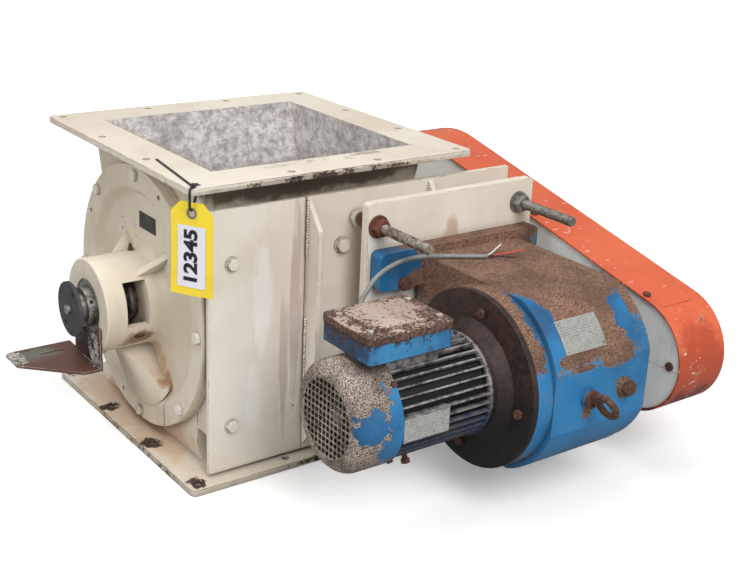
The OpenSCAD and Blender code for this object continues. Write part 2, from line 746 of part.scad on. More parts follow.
function unit(v) = v / norm(v);
function heading(p, i) = unit(p[min(i + 1, len(p) - 1)] - p[max(i - 1, 0)]);
function side(p, i) = let (t = heading(p, i), n = i == 0 ? [1, 0, 0] : side(p, i - 1))
    unit(n - (n * t) * t);

module cord(p, r, sides) {
    n = len(p);
    ring = [for (i = [0:n - 1]) let (a = side(p, i), b = cross(heading(p, i), a))
        for (k = [0:sides - 1]) p[i] + r * (cos(k * 360 / sides) * a + sin(k * 360 / sides) * b)];
    walls = [for (i = [0:n - 2]) for (k = [0:sides - 1])
        [i * sides + k, (i + 1) * sides + k, (i + 1) * sides + (k + 1) % sides,
         i * sides + (k + 1) % sides]];
    polyhedron(points = ring, faces = concat(walls,
        [[for (k = [0:sides - 1]) k]],
        [[for (k = [0:sides - 1]) n * sides - 1 - k]]), convexity = 6);
}

module motor_cable() color(steel) cord(cable_at, cable_d / 2, 10);

module cable_cores() color(silver) for (c = core_at) cord(c, 1.2, 8);

// ---- chain drive ----

module sprocket_2d(n, pr) difference() {
    circle(r = pitch * (0.5 + 1 / tan(180 / n)) / 2);
    for (k = [0:n - 1]) rotate((k + 0.5) * 360 / n) {
        translate([pr, 0]) circle(6);
        polygon([[pr, -6], [pr + 14, -13], [pr + 14, 13], [pr, 6]]);
    }
}

module sprocket(n, pr, y, z, a) translate([0, y, z]) slab_x(chain_x - 5.8, chain_x + 5.8)
    rotate(a) sprocket_2d(n, pr);

module rotor_sprocket() color(steel) difference() {
    union() {
        sprocket(rotor_teeth, pitch_r1, 0, axis_z, drive_a + 180);
        rod_x(45, chain_x - 19, chain_x + 19, 0, axis_z);
    }
    rod_x(shaft_r + eps, chain_x - 20, chain_x + 20, 0, axis_z);
    translate([chain_x - 20, -7.1, axis_z]) cube([40, 14.2, shaft_r + 4]);
    for (k = [0:4]) translate([0, 0, axis_z]) rotate([k * 72 + 36, 0, 0])
        rod_x(22, chain_x - 8, chain_x + 8, 0, 84);
}

module gear_sprocket() color(steel) difference() {
    union() {
        sprocket(gear_teeth, pitch_r2, gear_y, gear_z, drive_a);
        rod_x(32, chain_x - 17, chain_x + 17, gear_y, gear_z);
    }
    rod_x(19 + eps, chain_x - 18, chain_x + 18, gear_y, gear_z);
    translate([chain_x - 18, gear_y - 5.1, gear_z]) cube([36, 10.2, 22.5]);
}

// pin k of the 80-link chain in a frame whose +X runs from rotor axis to gearmotor axis
function arc_pt(c, r, a) = [c + r * cos(a), r * sin(a)];
end1 = arc_pt(0, pitch_r1, 80);
end2 = arc_pt(centre_dist, pitch_r2, 84);
function pin_at(k) =
    k < 26 ? arc_pt(0, pitch_r1, -80 - 8 * k) :
    k < 50 ? end1 + (k - 25) / 24 * (end2 - end1) :
    k < 57 ? arc_pt(centre_dist, pitch_r2, 84 - 24 * (k - 49)) :
    let (p = end2 + (k - 56) / 24 * (end1 - end2)) [p[0], -p[1]];

module link_2d(k) {
    a = pin_at(k);
    b = pin_at((k + 1) % 80);
    translate(a) circle(8.6);
    translate(b) circle(8.6);
    translate((a + b) / 2) rotate(atan2(b[1] - a[1], b[0] - a[0]))
        square([pitch, 12], center = true);
}

module chain_layer(x0, x1) slab_x(x0, x1) translate([0, axis_z]) rotate(drive_a) children();

module drive_chain() color(dark) {
    chain_layer(chain_x - 6.3, chain_x + 6.3) for (k = [0:79]) translate(pin_at(k)) circle(5.9);
    for (s = [-1, 1]) {
        chain_layer(chain_x + s * 7.5 - 1.2, chain_x + s * 7.5 + 1.2)
            for (k = [0:2:78]) link_2d(k);
        chain_layer(chain_x + s * 9.9 - 1.2, chain_x + s * 9.9 + 1.2)
            for (k = [1:2:79]) link_2d(k);
    }
}

// ---- chain guard ----

// outline tangent to the two guard arcs, drawn in (y, z)
module guard_2d(inset) {
    c1 = [guard_y1, guard_z1];
    c2 = [guard_y2, guard_z2];
    r1 = guard_r1 - inset;
    r2 = guard_r2 - inset;
    d = norm(c2 - c1);
    f = atan2(c2[1] - c1[1], c2[0] - c1[0]);
    a = acos((r1 - r2) / d);
    translate(c1) circle(r1);
    translate(c2) circle(r2);
    up = [cos(f - a), sin(f - a)];
    low = [cos(f + a), sin(f + a)];
    polygon([c1 + (r1 - 0.06) * low, c2 + (r2 - 0.06) * low,
        c2 + (r2 - 0.06) * up, c1 + (r1 - 0.06) * up]);
}

// screws square to the guard rim: round the rotor end, then along the two straight runs
module rim_screws() {
    c1 = [guard_y1, guard_z1];
    c2 = [guard_y2, guard_z2];
    f = atan2(c2[1] - c1[1], c2[0] - c1[0]);
    a = acos((guard_r1 - guard_r2) / norm(c2 - c1));
    for (b = [60, 0, -60]) translate([guard_x0 + 10, guard_y1, guard_z1]) rotate([b - 90, 0, 0])
        translate([0, 0, guard_r1]) children();
    for (t = [0.03, 0.5]) for (b = [f - a, f + a]) {
        p = t * (c1 + guard_r1 * [cos(b), sin(b)]) + (1 - t) * (c2 + guard_r2 * [cos(b), sin(b)]);
        translate([guard_x0 + 10, p[0], p[1]]) rotate([b - 90, 0, 0]) children();
    }
}

module chain_guard() color(orange) difference() {
    union() {
        slab_x(guard_x1 - 3, guard_x1) guard_2d(0);
        difference() {
            slab_x(guard_x0, guard_x1 - 2) guard_2d(0);
            slab_x(guard_x0 - 1, guard_x1) guard_2d(3);
        }
    }
    rim_screws() translate([0, 0, -6]) cylinder(r = 3.1, h = 12);
}

module guard_pan() difference() {
    union() {
        slab_x(guard_x0 + 4, guard_x0 + 6.5) guard_2d(3.6);
        difference() {
            slab_x(guard_x0 + 6, guard_x0 + 18) guard_2d(3.6);
            slab_x(guard_x0 + 5, guard_x0 + 19) guard_2d(5.6);
        }
    }
    rod_x(38, guard_x0, guard_x0 + 20, 0, axis_z);
    for (y = [gear_y - 30, gear_y + 13]) rod_x(30, guard_x0, guard_x0 + 20, y, gear_z);
    translate([guard_x0, gear_y - 30, gear_z - 30]) cube([20, 43, 60]);
    for (a = guard_posts) {
        p = on_axis(post_r, a);
        rod_x(5.1, guard_x0, guard_x0 + 20, p[0], p[1]);
    }
    rod_x(5.1, guard_x0, guard_x0 + 20, -200, axis_z + 39);
    for (y = [guard_y2 - 70, guard_y2 + 88]) rod_x(3.1, guard_x0, guard_x0 + 20, y, guard_z2 + 2);
    rim_screws() translate([0, 0, -16]) cylinder(r = 3.1, h = 14);
}

module door_zone(g) translate([guard_x0 - 1, guard_y2 - guard_r2 - 10, gear_z - 200])
    cube([30, guard_r2 + 130 + g, 181.2 + g]);

module guard_back() color(cream) difference() {
    guard_pan();
    door_zone(0.6);
}

module guard_door() color(cream) intersection() {
    guard_pan();
    door_zone(0);
}

module guard_screws() color(steel) {
    rim_screws() {
        translate([0, 0, -12]) cylinder(r = 3, h = 12.3);
        translate([0, 0, 0.2]) cylinder(r = 6, h = 3);
    }
    for (y = [guard_y2 - 70, guard_y2 + 88]) translate([guard_x0 + 4, y, guard_z2 + 2])
        rotate([0, -90, 0]) {
            cylinder(r = 7, h = 2.5);
            translate([0, 0, -9]) cylinder(r = 3, h = 9.1);
        }
}

module guard_struts() color(cream) {
    for (a = guard_posts) {
        p = on_axis(post_r, a);
        rod_x(9, web_x, guard_x0 + 4, p[0], p[1]);
        rod_x(5, web_x - 11, guard_x0 + 15, p[0], p[1]);
        translate([guard_x0 + 6.5, p[0], p[1]]) rotate([0, 90, 0]) hexagon(8.8, 6);
    }
    difference() {
        translate([310, panel_y - 8, axis_z + 9]) cube([79, 8, 60]);
        for (z = [axis_z + 22, axis_z + 56]) rod_y(5.1, panel_y - 9, panel_y + 1, 330, z);
    }
    translate([guard_x0 - 4, panel_y - 8, axis_z + 9]) cube([8, 46, 60]);
    for (z = [axis_z + 22, axis_z + 56]) translate([330, panel_y - 8, z]) rotate([90, 0, 0])
        bolt(10, 8 + bracket_t + 3);
    translate([0, -200, axis_z + 39]) {
        rod_x(5, guard_x0 + 3, guard_x0 + 15);
        translate([guard_x0 + 6.5, 0, 0]) rotate([0, 90, 0]) hexagon(8.8, 6);
    }
}

// ---- hanging tag ----

tag_c = -(bolt_sq / 2 + 15.9);
loop_d = bolt_sq / sqrt(2);

module lot_tag() color(yellow) translate([tag_c, tag_c, body_h - 28.8]) rotate([90, 0, -60])
    translate([0, 0, -0.4]) linear_extrude(height = 0.8) difference() {
        polygon([
            [-tag_w / 2, -tag_h + 10], [tag_w / 2, -tag_h + 10], [tag_w / 2, -5],
            [tag_w / 2 - 15, 10], [-tag_w / 2 + 15, 10], [-tag_w / 2, -5]]);
        translate([0, -5]) circle(5.2);
    }

module tag_tie() color(dark) {
    rotate([90, 0, 225]) linear_extrude(height = 3.6, center = true) translate([loop_d, body_h])
        difference() {
            polygon([[-1.8, -12], [-1.8, 2.1], [29, 2.1], [31.7, -2], [31.7, -24],
                [26, -30.4], [17, -30.4]]);
            polygon([[-0.5, -11.4], [-0.5, 0.8], [28.4, 0.8], [30.4, -2.4], [30.4, -23.4],
                [25.4, -29.1], [17.6, -29.1]]);
        }
    translate([tie_at, tie_at, body_h + 0.3]) {
        rotate([0, 0, 45]) translate([-3.5, -3, 0]) cube([7, 6, 5]);
        rotate([0, 0, 82]) translate([0, -1.8, 0]) cube([hole_pitch + 2.6, 3.6, 1.2]);
    }
}

housing();
end_cover_nde();
end_cover_de();
cover_bolts_nde();
cover_bolts_de();
bearing_outers();
bearing_inners();
shaft_packing();
packing_glands();
grease_nipples();
cover_nameplate();
rotor_shaft();
rotor_key();
rotor_vanes();
rotor_tips();
speed_disc();
disc_screw();
sensor_bracket();
sensor_bracket_bolts();
side_panel();
side_panel_bolts();
motor_bracket();
bracket_bolts();
takeup_studs();
takeup_nuts();
motor_plate();
gear_case();
gear_cover();
gear_bolts();
gear_plugs();
gear_eyebolt();
gear_nameplate();
gear_shaft();
gear_key();
adapter_flange();
adapter_bolts();
motor_frame();
motor_stator();
motor_rotor();
cooling_fan();
fan_cowl();
cowl_grille();
cowl_screws();
motor_nameplate();
terminal_box();
terminal_cover();
terminal_screws();
cable_gland();
motor_cable();
cable_cores();
rotor_sprocket();
gear_sprocket();
drive_chain();
chain_guard();
guard_back();
guard_door();
guard_screws();
guard_struts();
lot_tag();
tag_tie();
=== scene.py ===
"""Looks of a rotary airlock valve with a chain-driven gearmotor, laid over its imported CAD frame.

Everything is in metres in the frame of the CAD: the origin is the centre of the outlet
flange's lower face, +Z runs up through the inlet, +X runs along the rotor axis towards the
chain end, and the gearmotor is on the -Y side.
"""

import json
import logging
import math
from dataclasses import dataclass
from enum import Enum
from typing import Sequence, Union

import bmesh
import bpy
from mathutils import Matrix, Vector

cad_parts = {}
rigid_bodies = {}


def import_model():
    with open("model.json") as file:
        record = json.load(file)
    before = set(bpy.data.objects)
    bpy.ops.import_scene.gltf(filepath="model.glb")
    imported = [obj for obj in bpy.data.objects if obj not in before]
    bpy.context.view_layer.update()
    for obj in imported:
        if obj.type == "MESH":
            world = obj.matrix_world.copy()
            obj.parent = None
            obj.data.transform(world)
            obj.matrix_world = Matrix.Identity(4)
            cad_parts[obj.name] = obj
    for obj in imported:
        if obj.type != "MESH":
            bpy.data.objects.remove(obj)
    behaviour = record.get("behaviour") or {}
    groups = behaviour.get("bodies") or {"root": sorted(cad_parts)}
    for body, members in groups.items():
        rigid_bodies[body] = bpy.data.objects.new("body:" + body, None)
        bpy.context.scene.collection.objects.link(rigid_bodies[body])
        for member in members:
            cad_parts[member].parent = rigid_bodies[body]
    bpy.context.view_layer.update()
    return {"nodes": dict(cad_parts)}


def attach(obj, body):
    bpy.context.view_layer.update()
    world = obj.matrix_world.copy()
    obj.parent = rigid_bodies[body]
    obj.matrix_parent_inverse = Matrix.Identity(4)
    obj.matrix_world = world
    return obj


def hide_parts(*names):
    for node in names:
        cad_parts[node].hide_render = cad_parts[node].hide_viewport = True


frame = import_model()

log = logging.getLogger("airlock")

Point = tuple[float, float, float]
Colour = tuple[float, float, float]

# ---- heights and axes that several pieces share, in metres ----
AXIS_Z = 0.2286
GEAR_Y = -0.46671
GEAR_Z = 0.2034
BODY_H = 0.4699
PANEL_Y = -0.221
QUARTER = math.radians(90)  # a quarter turn, in radians


class Body(Enum):
    """The CAD bodies that pieces ride on."""

    VALVE = "valve_body"
    ROTOR = "rotor"
    DRIVE = "drive_unit"
    TAG = "tag"


class Axis(Enum):
    """The three directions of the frame."""

    X = (1.0, 0.0, 0.0)
    Y = (0.0, 1.0, 0.0)
    Z = (0.0, 0.0, 1.0)


def rgb(red: float, green: float, blue: float) -> Colour:
    """Turns a screen colour of 0 to 255 into the linear colour that shaders take.

    Args:
        red: Red, 0 to 255.
        green: Green, 0 to 255.
        blue: Blue, 0 to 255.

    Returns:
        The linear colour.
    """
    def linear(value: float) -> float:
        """Undoes the screen curve for one channel."""
        value /= 255.0
        return value / 12.92 if value <= 0.04045 else ((value + 0.055) / 1.055) ** 2.4

    return linear(red), linear(green), linear(blue)


# ======================================================================================
# Shader trees
# ======================================================================================


def add_node(tree: bpy.types.NodeTree, kind: str,
             links: dict[Union[str, int], object] | None = None,
             **settings: object) -> bpy.types.Node:
    """Adds a node to a shader or geometry tree.

    Args:
        tree: The tree.
        kind: The node's type.
        links: For each input, a node, an output socket or a value.
        **settings: Properties to set on it.

    Returns:
        The node.
    """
    made = tree.nodes.new(kind)
    for key, value in settings.items():
        setattr(made, key, value)
    for key, value in (links or {}).items():
        socket = made.inputs[key]
        if isinstance(value, bpy.types.Node):
            tree.links.new(value.outputs[0], socket)
        elif isinstance(value, bpy.types.NodeSocket):
            tree.links.new(value, socket)
        else:
            socket.default_value = value
    return made


class Signal:
    """A value, vector or colour in a shader tree. Arithmetic on it adds Math nodes."""

    def __init__(self, graph: "Graph", socket: bpy.types.NodeSocket) -> None:
        """Keeps the tree and the output socket that the signal comes from."""
        self.graph = graph
        self.socket = socket

    def __add__(self, other: "Term") -> "Signal":
        """Sum of two signals."""
        return self.graph.maths("ADD", self, other)

    def __radd__(self, other: "Term") -> "Signal":
        """Sum with the number on the left."""
        return self.graph.maths("ADD", self, other)

    def __sub__(self, other: "Term") -> "Signal":
        """Difference of two signals."""
        return self.graph.maths("SUBTRACT", self, other)

    def __rsub__(self, other: "Term") -> "Signal":
        """Difference with the number on the left."""
        return self.graph.maths("SUBTRACT", other, self)

    def __mul__(self, other: "Term") -> "Signal":
        """Product of two signals."""
        return self.graph.maths("MULTIPLY", self, other)

    def __rmul__(self, other: "Term") -> "Signal":
        """Product with the number on the left."""
        return self.graph.maths("MULTIPLY", self, other)


Term = Union[Signal, float]


class Graph:
    """A material's node tree, with short ways to add the nodes that the finishes share."""

    def __init__(self, name: str) -> None:
        """Starts a material with a bare Principled shader.

        Args:
            name: Name of the material.
        """
        self.material = bpy.data.materials.new(name)
        self.material.use_nodes = True
        self.tree = self.material.node_tree
        self.tree.nodes.clear()
        self.shader = self.node("ShaderNodeBsdfPrincipled")
        output = self.node("ShaderNodeOutputMaterial")
        self.tree.links.new(self.shader.outputs[0], output.inputs["Surface"])
        self.coord = Signal(self, self.node("ShaderNodeTexCoord").outputs["Object"])
        geometry = self.node("ShaderNodeNewGeometry")
        self.normal = Signal(self, geometry.outputs["Normal"])
        self.edges: dict[float, Signal] = {}

    def node(self, kind: str, **settings: object) -> bpy.types.Node:
        """Adds a node of a type, with its properties set."""
        return add_node(self.tree, kind, **settings)

    def feed(self, socket: bpy.types.NodeSocket, value: object) -> None:
        """Links a signal to an input, or sets a plain value on it.

        Args:
            socket: The input.
            value: A Signal, a number, a colour or a vector.
        """
        if isinstance(value, Signal):
            self.tree.links.new(value.socket, socket)
        elif socket.type == "RGBA":
            socket.default_value = (*value, 1.0)
        else:
            socket.default_value = value

    def maths(self, operation: str, *terms: Term) -> Signal:
        """Adds a Math node.

        Args:
            operation: The Math operation.
            *terms: Its inputs, in order.

        Returns:
            Its value.
        """
        made = self.node("ShaderNodeMath", operation=operation)
        for socket, term in zip(made.inputs, terms):
            self.feed(socket, term)
        return Signal(self, made.outputs[0])

    def vector(self, operation: str, *terms: object) -> Signal:
        """Adds a Vector Math node and returns its value or vector.

        Args:
            operation: The Vector Math operation.
            *terms: Its inputs, in order.

        Returns:
            The value for a length, dot product or distance, and else the vector.
        """
        made = self.node("ShaderNodeVectorMath", operation=operation)
        for socket, term in zip(made.inputs, terms):
            self.feed(socket, term)
        scalar = operation in ("DOT_PRODUCT", "LENGTH", "DISTANCE")
        return Signal(self, made.outputs["Value" if scalar else "Vector"])

    def along(self, direction: Point) -> Signal:
        """Distance of the surface point along a direction, in metres."""
        return self.vector("DOT_PRODUCT", self.coord, direction)

    def facing(self, direction: Point) -> Signal:
        """How far the surface faces a direction: 1 towards it, -1 away."""
        return self.vector("DOT_PRODUCT", self.normal, direction)

    def ramp(self, value: Term, low: float, high: float) -> Signal:
        """A smooth step from 0 at low to 1 at high.

        Args:
            value: The signal to step.
            low: Where the step starts.
            high: Where it ends; below low for a falling step.

        Returns:
            The step.
        """
        made = self.node("ShaderNodeMapRange", interpolation_type="SMOOTHSTEP")
        first, last, start, end = (low, high, 0.0, 1.0) if high > low else (high, low, 1.0, 0.0)
        for socket, term in zip(made.inputs, (value, first, last, start, end)):
            self.feed(socket, term)
        return Signal(self, made.outputs[0])

    def mix(self, share: Term, first: object, second: object) -> Signal:
        """Mixes two colours.

        Args:
            share: Share of the second colour, 0 to 1.
            first: Colour or signal at 0.
            second: Colour or signal at 1.

        Returns:
            The mixed colour.
        """
        made = self.node("ShaderNodeMix", data_type="RGBA")
        self.feed(made.inputs[0], share)
        self.feed(made.inputs[6], first)
        self.feed(made.inputs[7], second)
        return Signal(self, made.outputs[2])

    def noise(self, scale: float, detail: float = 4.0, rough: float = 0.55,
              stretch: Point = (1.0, 1.0, 1.0), shift: float = 0.0, warp: float = 0.0) -> Signal:
        """Fractal noise on the object's own coordinates.

        Args:
            scale: Cells per metre.
            detail: Octaves.
            rough: Weight of the finer octaves.
            stretch: Scale along each axis.
            shift: Moves the pattern, so that two noises differ.
            warp: Distortion.

        Returns:
            The noise, about 0.5 on average.
        """
        mapping = self.node("ShaderNodeMapping")
        self.feed(mapping.inputs["Vector"], self.coord)
        mapping.inputs["Location"].default_value = (shift, shift * 0.7, shift * 1.3)
        mapping.inputs["Scale"].default_value = stretch
        made = self.node("ShaderNodeTexNoise")
        self.tree.links.new(mapping.outputs[0], made.inputs["Vector"])
        made.inputs["Scale"].default_value = scale
        made.inputs["Detail"].default_value = detail
        made.inputs["Roughness"].default_value = rough
        made.inputs["Distortion"].default_value = warp
        return Signal(self, made.outputs[0])

    def soft_normal(self, radius: float) -> Signal:
        """The surface normal as if every edge were rounded to a radius, in metres."""
        if radius not in self.edges:
            made = self.node("ShaderNodeBevel", samples=6)
            made.inputs["Radius"].default_value = radius
            self.edges[radius] = Signal(self, made.outputs[0])
        return self.edges[radius]

    def edge(self, radius: float) -> Signal:
        """1 on sharp edges and 0 on flats, reaching about a radius from the edge."""
        bend = 1.0 - self.vector("DOT_PRODUCT", self.soft_normal(radius), self.normal)
        return self.ramp(bend, 0.01, 0.22)

    def cavity(self, reach: float) -> Signal:
        """Ambient-occlusion mask for painted shade: 1 far into corners and 0 in the open, looking
        as far as reach, in metres.
        """
        made = self.node("ShaderNodeAmbientOcclusion", samples=6)
        made.inputs["Distance"].default_value = reach
        return self.ramp(Signal(self, made.outputs["AO"]), 0.85, 0.25)

    def near(self, at: Point, size: Point, ragged: Term = 0.0) -> Signal:
        """A soft patch round a point.

        Args:
            at: Centre of the patch.
            size: Its half-widths along X, Y and Z.
            ragged: Added to the patch's distance, to break its rim up.

        Returns:
            1 at the centre, falling to 0 at the rim.
        """
        offset = self.vector("SUBTRACT", self.coord, at)
        span = self.vector("LENGTH", self.vector("DIVIDE", offset, size))
        return self.ramp(span + ragged, 1.0, 0.55)

    def done(self, colour: object, rough: Term, metal: Term = 0.0, height: Term | None = None,
             depth: float = 0.0004, edge: float = 0.0012) -> bpy.types.Material:
        """Feeds the shader and returns the material.

        Args:
            colour: Base colour.
            rough: Roughness.
            metal: Metallic share.
            height: Relief, 0 to 1, or None for a smooth surface.
            depth: Height in metres of a relief of 1.
            edge: Radius to which edges look rounded; 0 leaves them sharp.

        Returns:
            The finished material.
        """
        self.feed(self.shader.inputs["Base Color"], colour)
        self.feed(self.shader.inputs["Roughness"], rough)
        self.feed(self.shader.inputs["Metallic"], metal)
        base = self.soft_normal(edge) if edge else None
        if height is not None:
            bump = self.node("ShaderNodeBump")
            bump.inputs["Strength"].default_value = 1.0
            bump.inputs["Distance"].default_value = depth
            self.feed(bump.inputs["Height"], height)
            if base is not None:
                self.feed(bump.inputs["Normal"], base)
            base = Signal(self, bump.outputs[0])
        if base is not None:
            self.feed(self.shader.inputs["Normal"], base)
        return self.material


# ======================================================================================
# Finishes
# ======================================================================================


@dataclass(frozen=True)
class Slope:
    """Wear that grows along a direction: gain is reached at end, none at start."""

    direction: Point
    start: float
    end: float
    gain: float


@dataclass(frozen=True)
class Patch:
    """Wear in one place: gain at the centre, fading out over size."""

    at: Point
    size: Point
    gain: float


@dataclass(frozen=True)
class ColourFilm:
    """A film of one colour over one place, for a stain and once for a painted shadow."""

    at: Point
    size: Point
    colour: Colour
    amount: float
    stretch: Point = (1.0, 1.0, 1.0)


@dataclass(frozen=True)
class WornPaint:
    """Brushed enamel that is chipped down to rust, darkened by painted shade in its corners and
    streaked.
    """

    name: str
    coat: Colour
    faded: Colour
    rust: Colour = rgb(112, 74, 54)
    rust_dark: Colour = rgb(58, 40, 33)
    rough: float = 0.5
    bias: float = -0.62
    spread: float = 2.2
    flake: float = 34.0
    fleck: float = 0.7
    tear: float = 2.6
    grain: float = 420.0
    edge_wear: float = 0.3
    edge_radius: float = 0.0022
    dirt: Colour = rgb(150, 122, 92)
    # Colour of the dark specks, and of the painted shade in corners.
    soot_and_shade: Colour = rgb(92, 74, 60)
    # Strength of the painted shade in corners and gaps.
    corner_shade: float = 0.55
    streaks: float = 0.4
    specks: float = 0.1
    dust: float = 0.25
    bite: float = 0.09
    corner_reach: float = 0.022
    paint_rim: tuple[float, float] = (-0.015, 0.02)
    halo_start: float = -0.16
    depth: float = 0.0005
    halo: float = 0.5
    slopes: tuple[Slope, ...] = ()
    patches: tuple[Patch, ...] = ()
    colour_films: tuple[ColourFilm, ...] = ()
    scratch: float = 0.0
    scratch_colour: Colour = rgb(236, 226, 214)

    def wear(self, g: Graph) -> Signal:
        """How far the paint is gone: above 0 where the metal shows.

        Args:
            g: The tree to add to.

        Returns:
            The wear.
        """
        ragged = g.noise(self.flake, 9.0, 0.68, warp=0.3)
        fleck = g.noise(self.flake * 7.0, 4.0, 0.7, shift=15.0)
        field_ = (ragged - 0.5) * self.spread + (fleck - 0.5) * self.fleck + self.bias
        field_ = field_ + g.edge(self.edge_radius) * self.edge_wear
        for s in self.slopes:
            field_ = field_ + g.ramp(g.along(s.direction), s.start, s.end) * s.gain
        for p in self.patches:
            field_ = field_ + g.near(p.at, p.size, (ragged - 0.5) * self.tear) * p.gain
        return field_

    def coating(self, g: Graph) -> tuple[Signal, Signal]:
        """Lays the enamel with its streaks, specks, colour films and scratches, and paints shade
        into its corners.

        Args:
            g: The tree to add to.

        Returns:
            The paint's colour and the cloudy film of dirt on it.
        """
        broad = g.noise(5.0, 4.0, shift=3.0)
        colour = g.mix(g.ramp(broad, 0.36, 0.66), self.coat, self.faded)
        side = 1.0 - g.maths("ABSOLUTE", g.facing(Axis.Z.value))
        streak = g.ramp(g.noise(38.0, 5.0, stretch=(1.0, 1.0, 0.09), shift=1.0), 0.53, 0.72)
        colour = g.mix(streak * side * self.streaks, colour, self.dirt)
        film = g.ramp(g.noise(15.0, 6.0, 0.65, shift=8.0), 0.5, 0.78)
        colour = g.mix(film * (self.streaks * 0.6), colour, self.dirt)
        speck = g.ramp(g.noise(300.0, 4.0, 0.6, shift=5.0), 0.62, 0.68)
        colour = g.mix(speck * self.specks, colour, self.soot_and_shade)
        # Painted shade: an ambient-occlusion mask darkens corners and gaps with the dark speck
        # colour.
        colour = g.mix(g.cavity(self.corner_reach) * self.corner_shade, colour, self.soot_and_shade)
        # Colour films, among them a painted shadow under the housing's top flange.
        for s in self.colour_films:
            rim = (g.noise(30.0, 5.0, 0.6, stretch=s.stretch, shift=2.0) - 0.5) * 1.6
            colour = g.mix(g.near(s.at, s.size, rim) * s.amount, colour, s.colour)
        if self.scratch:
            line = g.ramp(g.noise(330.0, 3.0, stretch=(0.14, 0.9, 0.4), shift=4.0), 0.66, 0.69)
            keep = g.ramp(g.noise(12.0, 2.0, shift=6.0), 0.46, 0.56)
            colour = g.mix(line * keep * self.scratch, colour, self.scratch_colour)
        return colour, film

    def bare_metal(self, g: Graph, grain: Signal) -> Signal:
        """Colours the rusty metal under the paint.

        Args:
            g: The tree to add to.
            grain: The fine grain of the rust.

        Returns:
            The colour.
        """
        metal = g.mix(g.ramp(grain, 0.5 - self.bite, 0.5 + self.bite), self.rust_dark, self.rust)
        tone = g.ramp(g.noise(16.0, 5.0, 0.66, shift=13.0), 0.42, 0.64)
        metal = g.mix(tone * 0.6, metal, self.rust_dark)
        dust = g.ramp(g.noise(190.0, 5.0, 0.7, shift=16.0), 0.58, 0.66)
        return g.mix(dust * self.dust, metal, self.dirt)

    def build(self) -> bpy.types.Material:
        """Makes the material.

        Returns:
            The material.
        """
        g = Graph(self.name)
        colour, film = self.coating(g)
        wear = self.wear(g)
        bare = g.ramp(wear, *self.paint_rim)
        colour = g.mix(g.ramp(wear, self.halo_start, 0.0) * self.halo, colour, self.dirt)
        grain = g.noise(self.grain, 6.0, 0.72, shift=9.0)
        colour = g.mix(bare, colour, self.bare_metal(g, grain))
        rough = bare * 0.35 + film * 0.12 + self.rough
        relief = g.noise(90.0, 4.0, shift=7.0) * 0.3 - bare * 0.6 + grain * bare * 0.8
        colour, rough, metallic, relief = self.lining(g, colour, rough, relief)
        return g.done(colour, rough, metallic, relief, self.depth)

    def lining(self, g: Graph, colour: Signal, rough: Signal, relief: Signal
               ) -> tuple[Signal, Signal, Term, Signal]:
        """Leaves the paint as it is; a finish with an unpainted part lays it over here."""
        return colour, rough, 0.0, relief


@dataclass(frozen=True)
class Metal:
    """Bare metal with tarnish, a share of rust and painted shade in its corners."""

    name: str
    light: Colour
    dark: Colour
    rust: Colour = rgb(108, 66, 44)
    rust_share: float = 0.2
    metallic: float = 0.85
    rough: float = 0.42
    grain: float = 120.0
    stretch: Point = (1.0, 1.0, 1.0)
    # Strength of the painted shade in corners.
    corner_shade: float = 0.6
    relief: float = 0.3
    patches: tuple[Patch, ...] = ()

    def build(self) -> bpy.types.Material:
        """Makes the material.

        Returns:
            The material.
        """
        g = Graph(self.name)
        fine = g.noise(self.grain, 5.0, 0.62, stretch=self.stretch)
        broad = g.noise(self.grain * 0.18, 4.0, shift=2.0)
        colour = g.mix(g.ramp(fine * 0.6 + broad * 0.4, 0.4, 0.62), self.dark, self.light)
        field_ = (g.noise(self.grain * 0.4, 7.0, 0.65, shift=5.0) - 0.5) * 2.4
        field_ = field_ + (self.rust_share - 0.5) * 1.2
        for p in self.patches:
            field_ = field_ + g.near(p.at, p.size) * p.gain
        rusty = g.ramp(field_, -0.12, 0.12)
        dusty = g.mix(g.ramp(g.noise(self.grain * 1.6, 4.0, shift=7.0), 0.35, 0.65),
                      tuple(c * 0.45 for c in self.rust), self.rust)
        colour = g.mix(rusty, colour, dusty)
        # Painted shade: an ambient-occlusion mask darkens corners with near-black brown.
        colour = g.mix(g.cavity(0.014) * self.corner_shade, colour, rgb(38, 30, 26))
        metal = (1.0 - rusty) * self.metallic
        rough = rusty * 0.4 + fine * 0.2 + (self.rough - 0.1)
        return g.done(colour, rough, metal, fine * self.relief + rusty * 0.3, 0.0005)


@dataclass(frozen=True)
class Plate:
    """Thin bright nameplate with scratches, dirt and dim rows of marks that spell nothing."""

    name: str
    sheet: Colour = rgb(196, 198, 196)
    dull: Colour = rgb(158, 157, 152)
    marks: Colour = rgb(96, 94, 92)
    metallic: float = 0.7
    rows: float = 260.0
    up: Point = (0.0, 0.0, 1.0)

    def build(self) -> bpy.types.Material:
        """Makes the material.

        Returns:
            The material.
        """
        g = Graph(self.name)
        scuff = g.noise(260.0, 6.0, 0.66)
        patch = g.noise(150.0, 6.0, 0.7, shift=4.0)
        colour = g.mix(g.ramp(scuff, 0.4, 0.7) * 0.6, self.sheet, self.dull)
        dirt = g.ramp(patch, 0.6, 0.68)
        colour = g.mix(dirt * 0.7, colour, rgb(82, 74, 68))
        row = g.ramp(g.maths("PINGPONG", g.along(self.up) * self.rows, 0.5), 0.30, 0.36)
        dash = g.ramp(g.noise(520.0, 2.0, shift=9.0), 0.48, 0.52)
        block = g.ramp(g.noise(70.0, 2.0, stretch=(1.0, 0.6, 0.6), shift=8.0), 0.46, 0.5)
        marks = row * dash * block
        colour = g.mix(marks * 0.55, colour, self.marks)
        return g.done(colour, dirt * 0.3 + scuff * 0.2 + 0.25, (1.0 - dirt) * self.metallic,
                      scuff * 0.4 + dirt * 0.3 + marks, 0.0002, 0.0006)


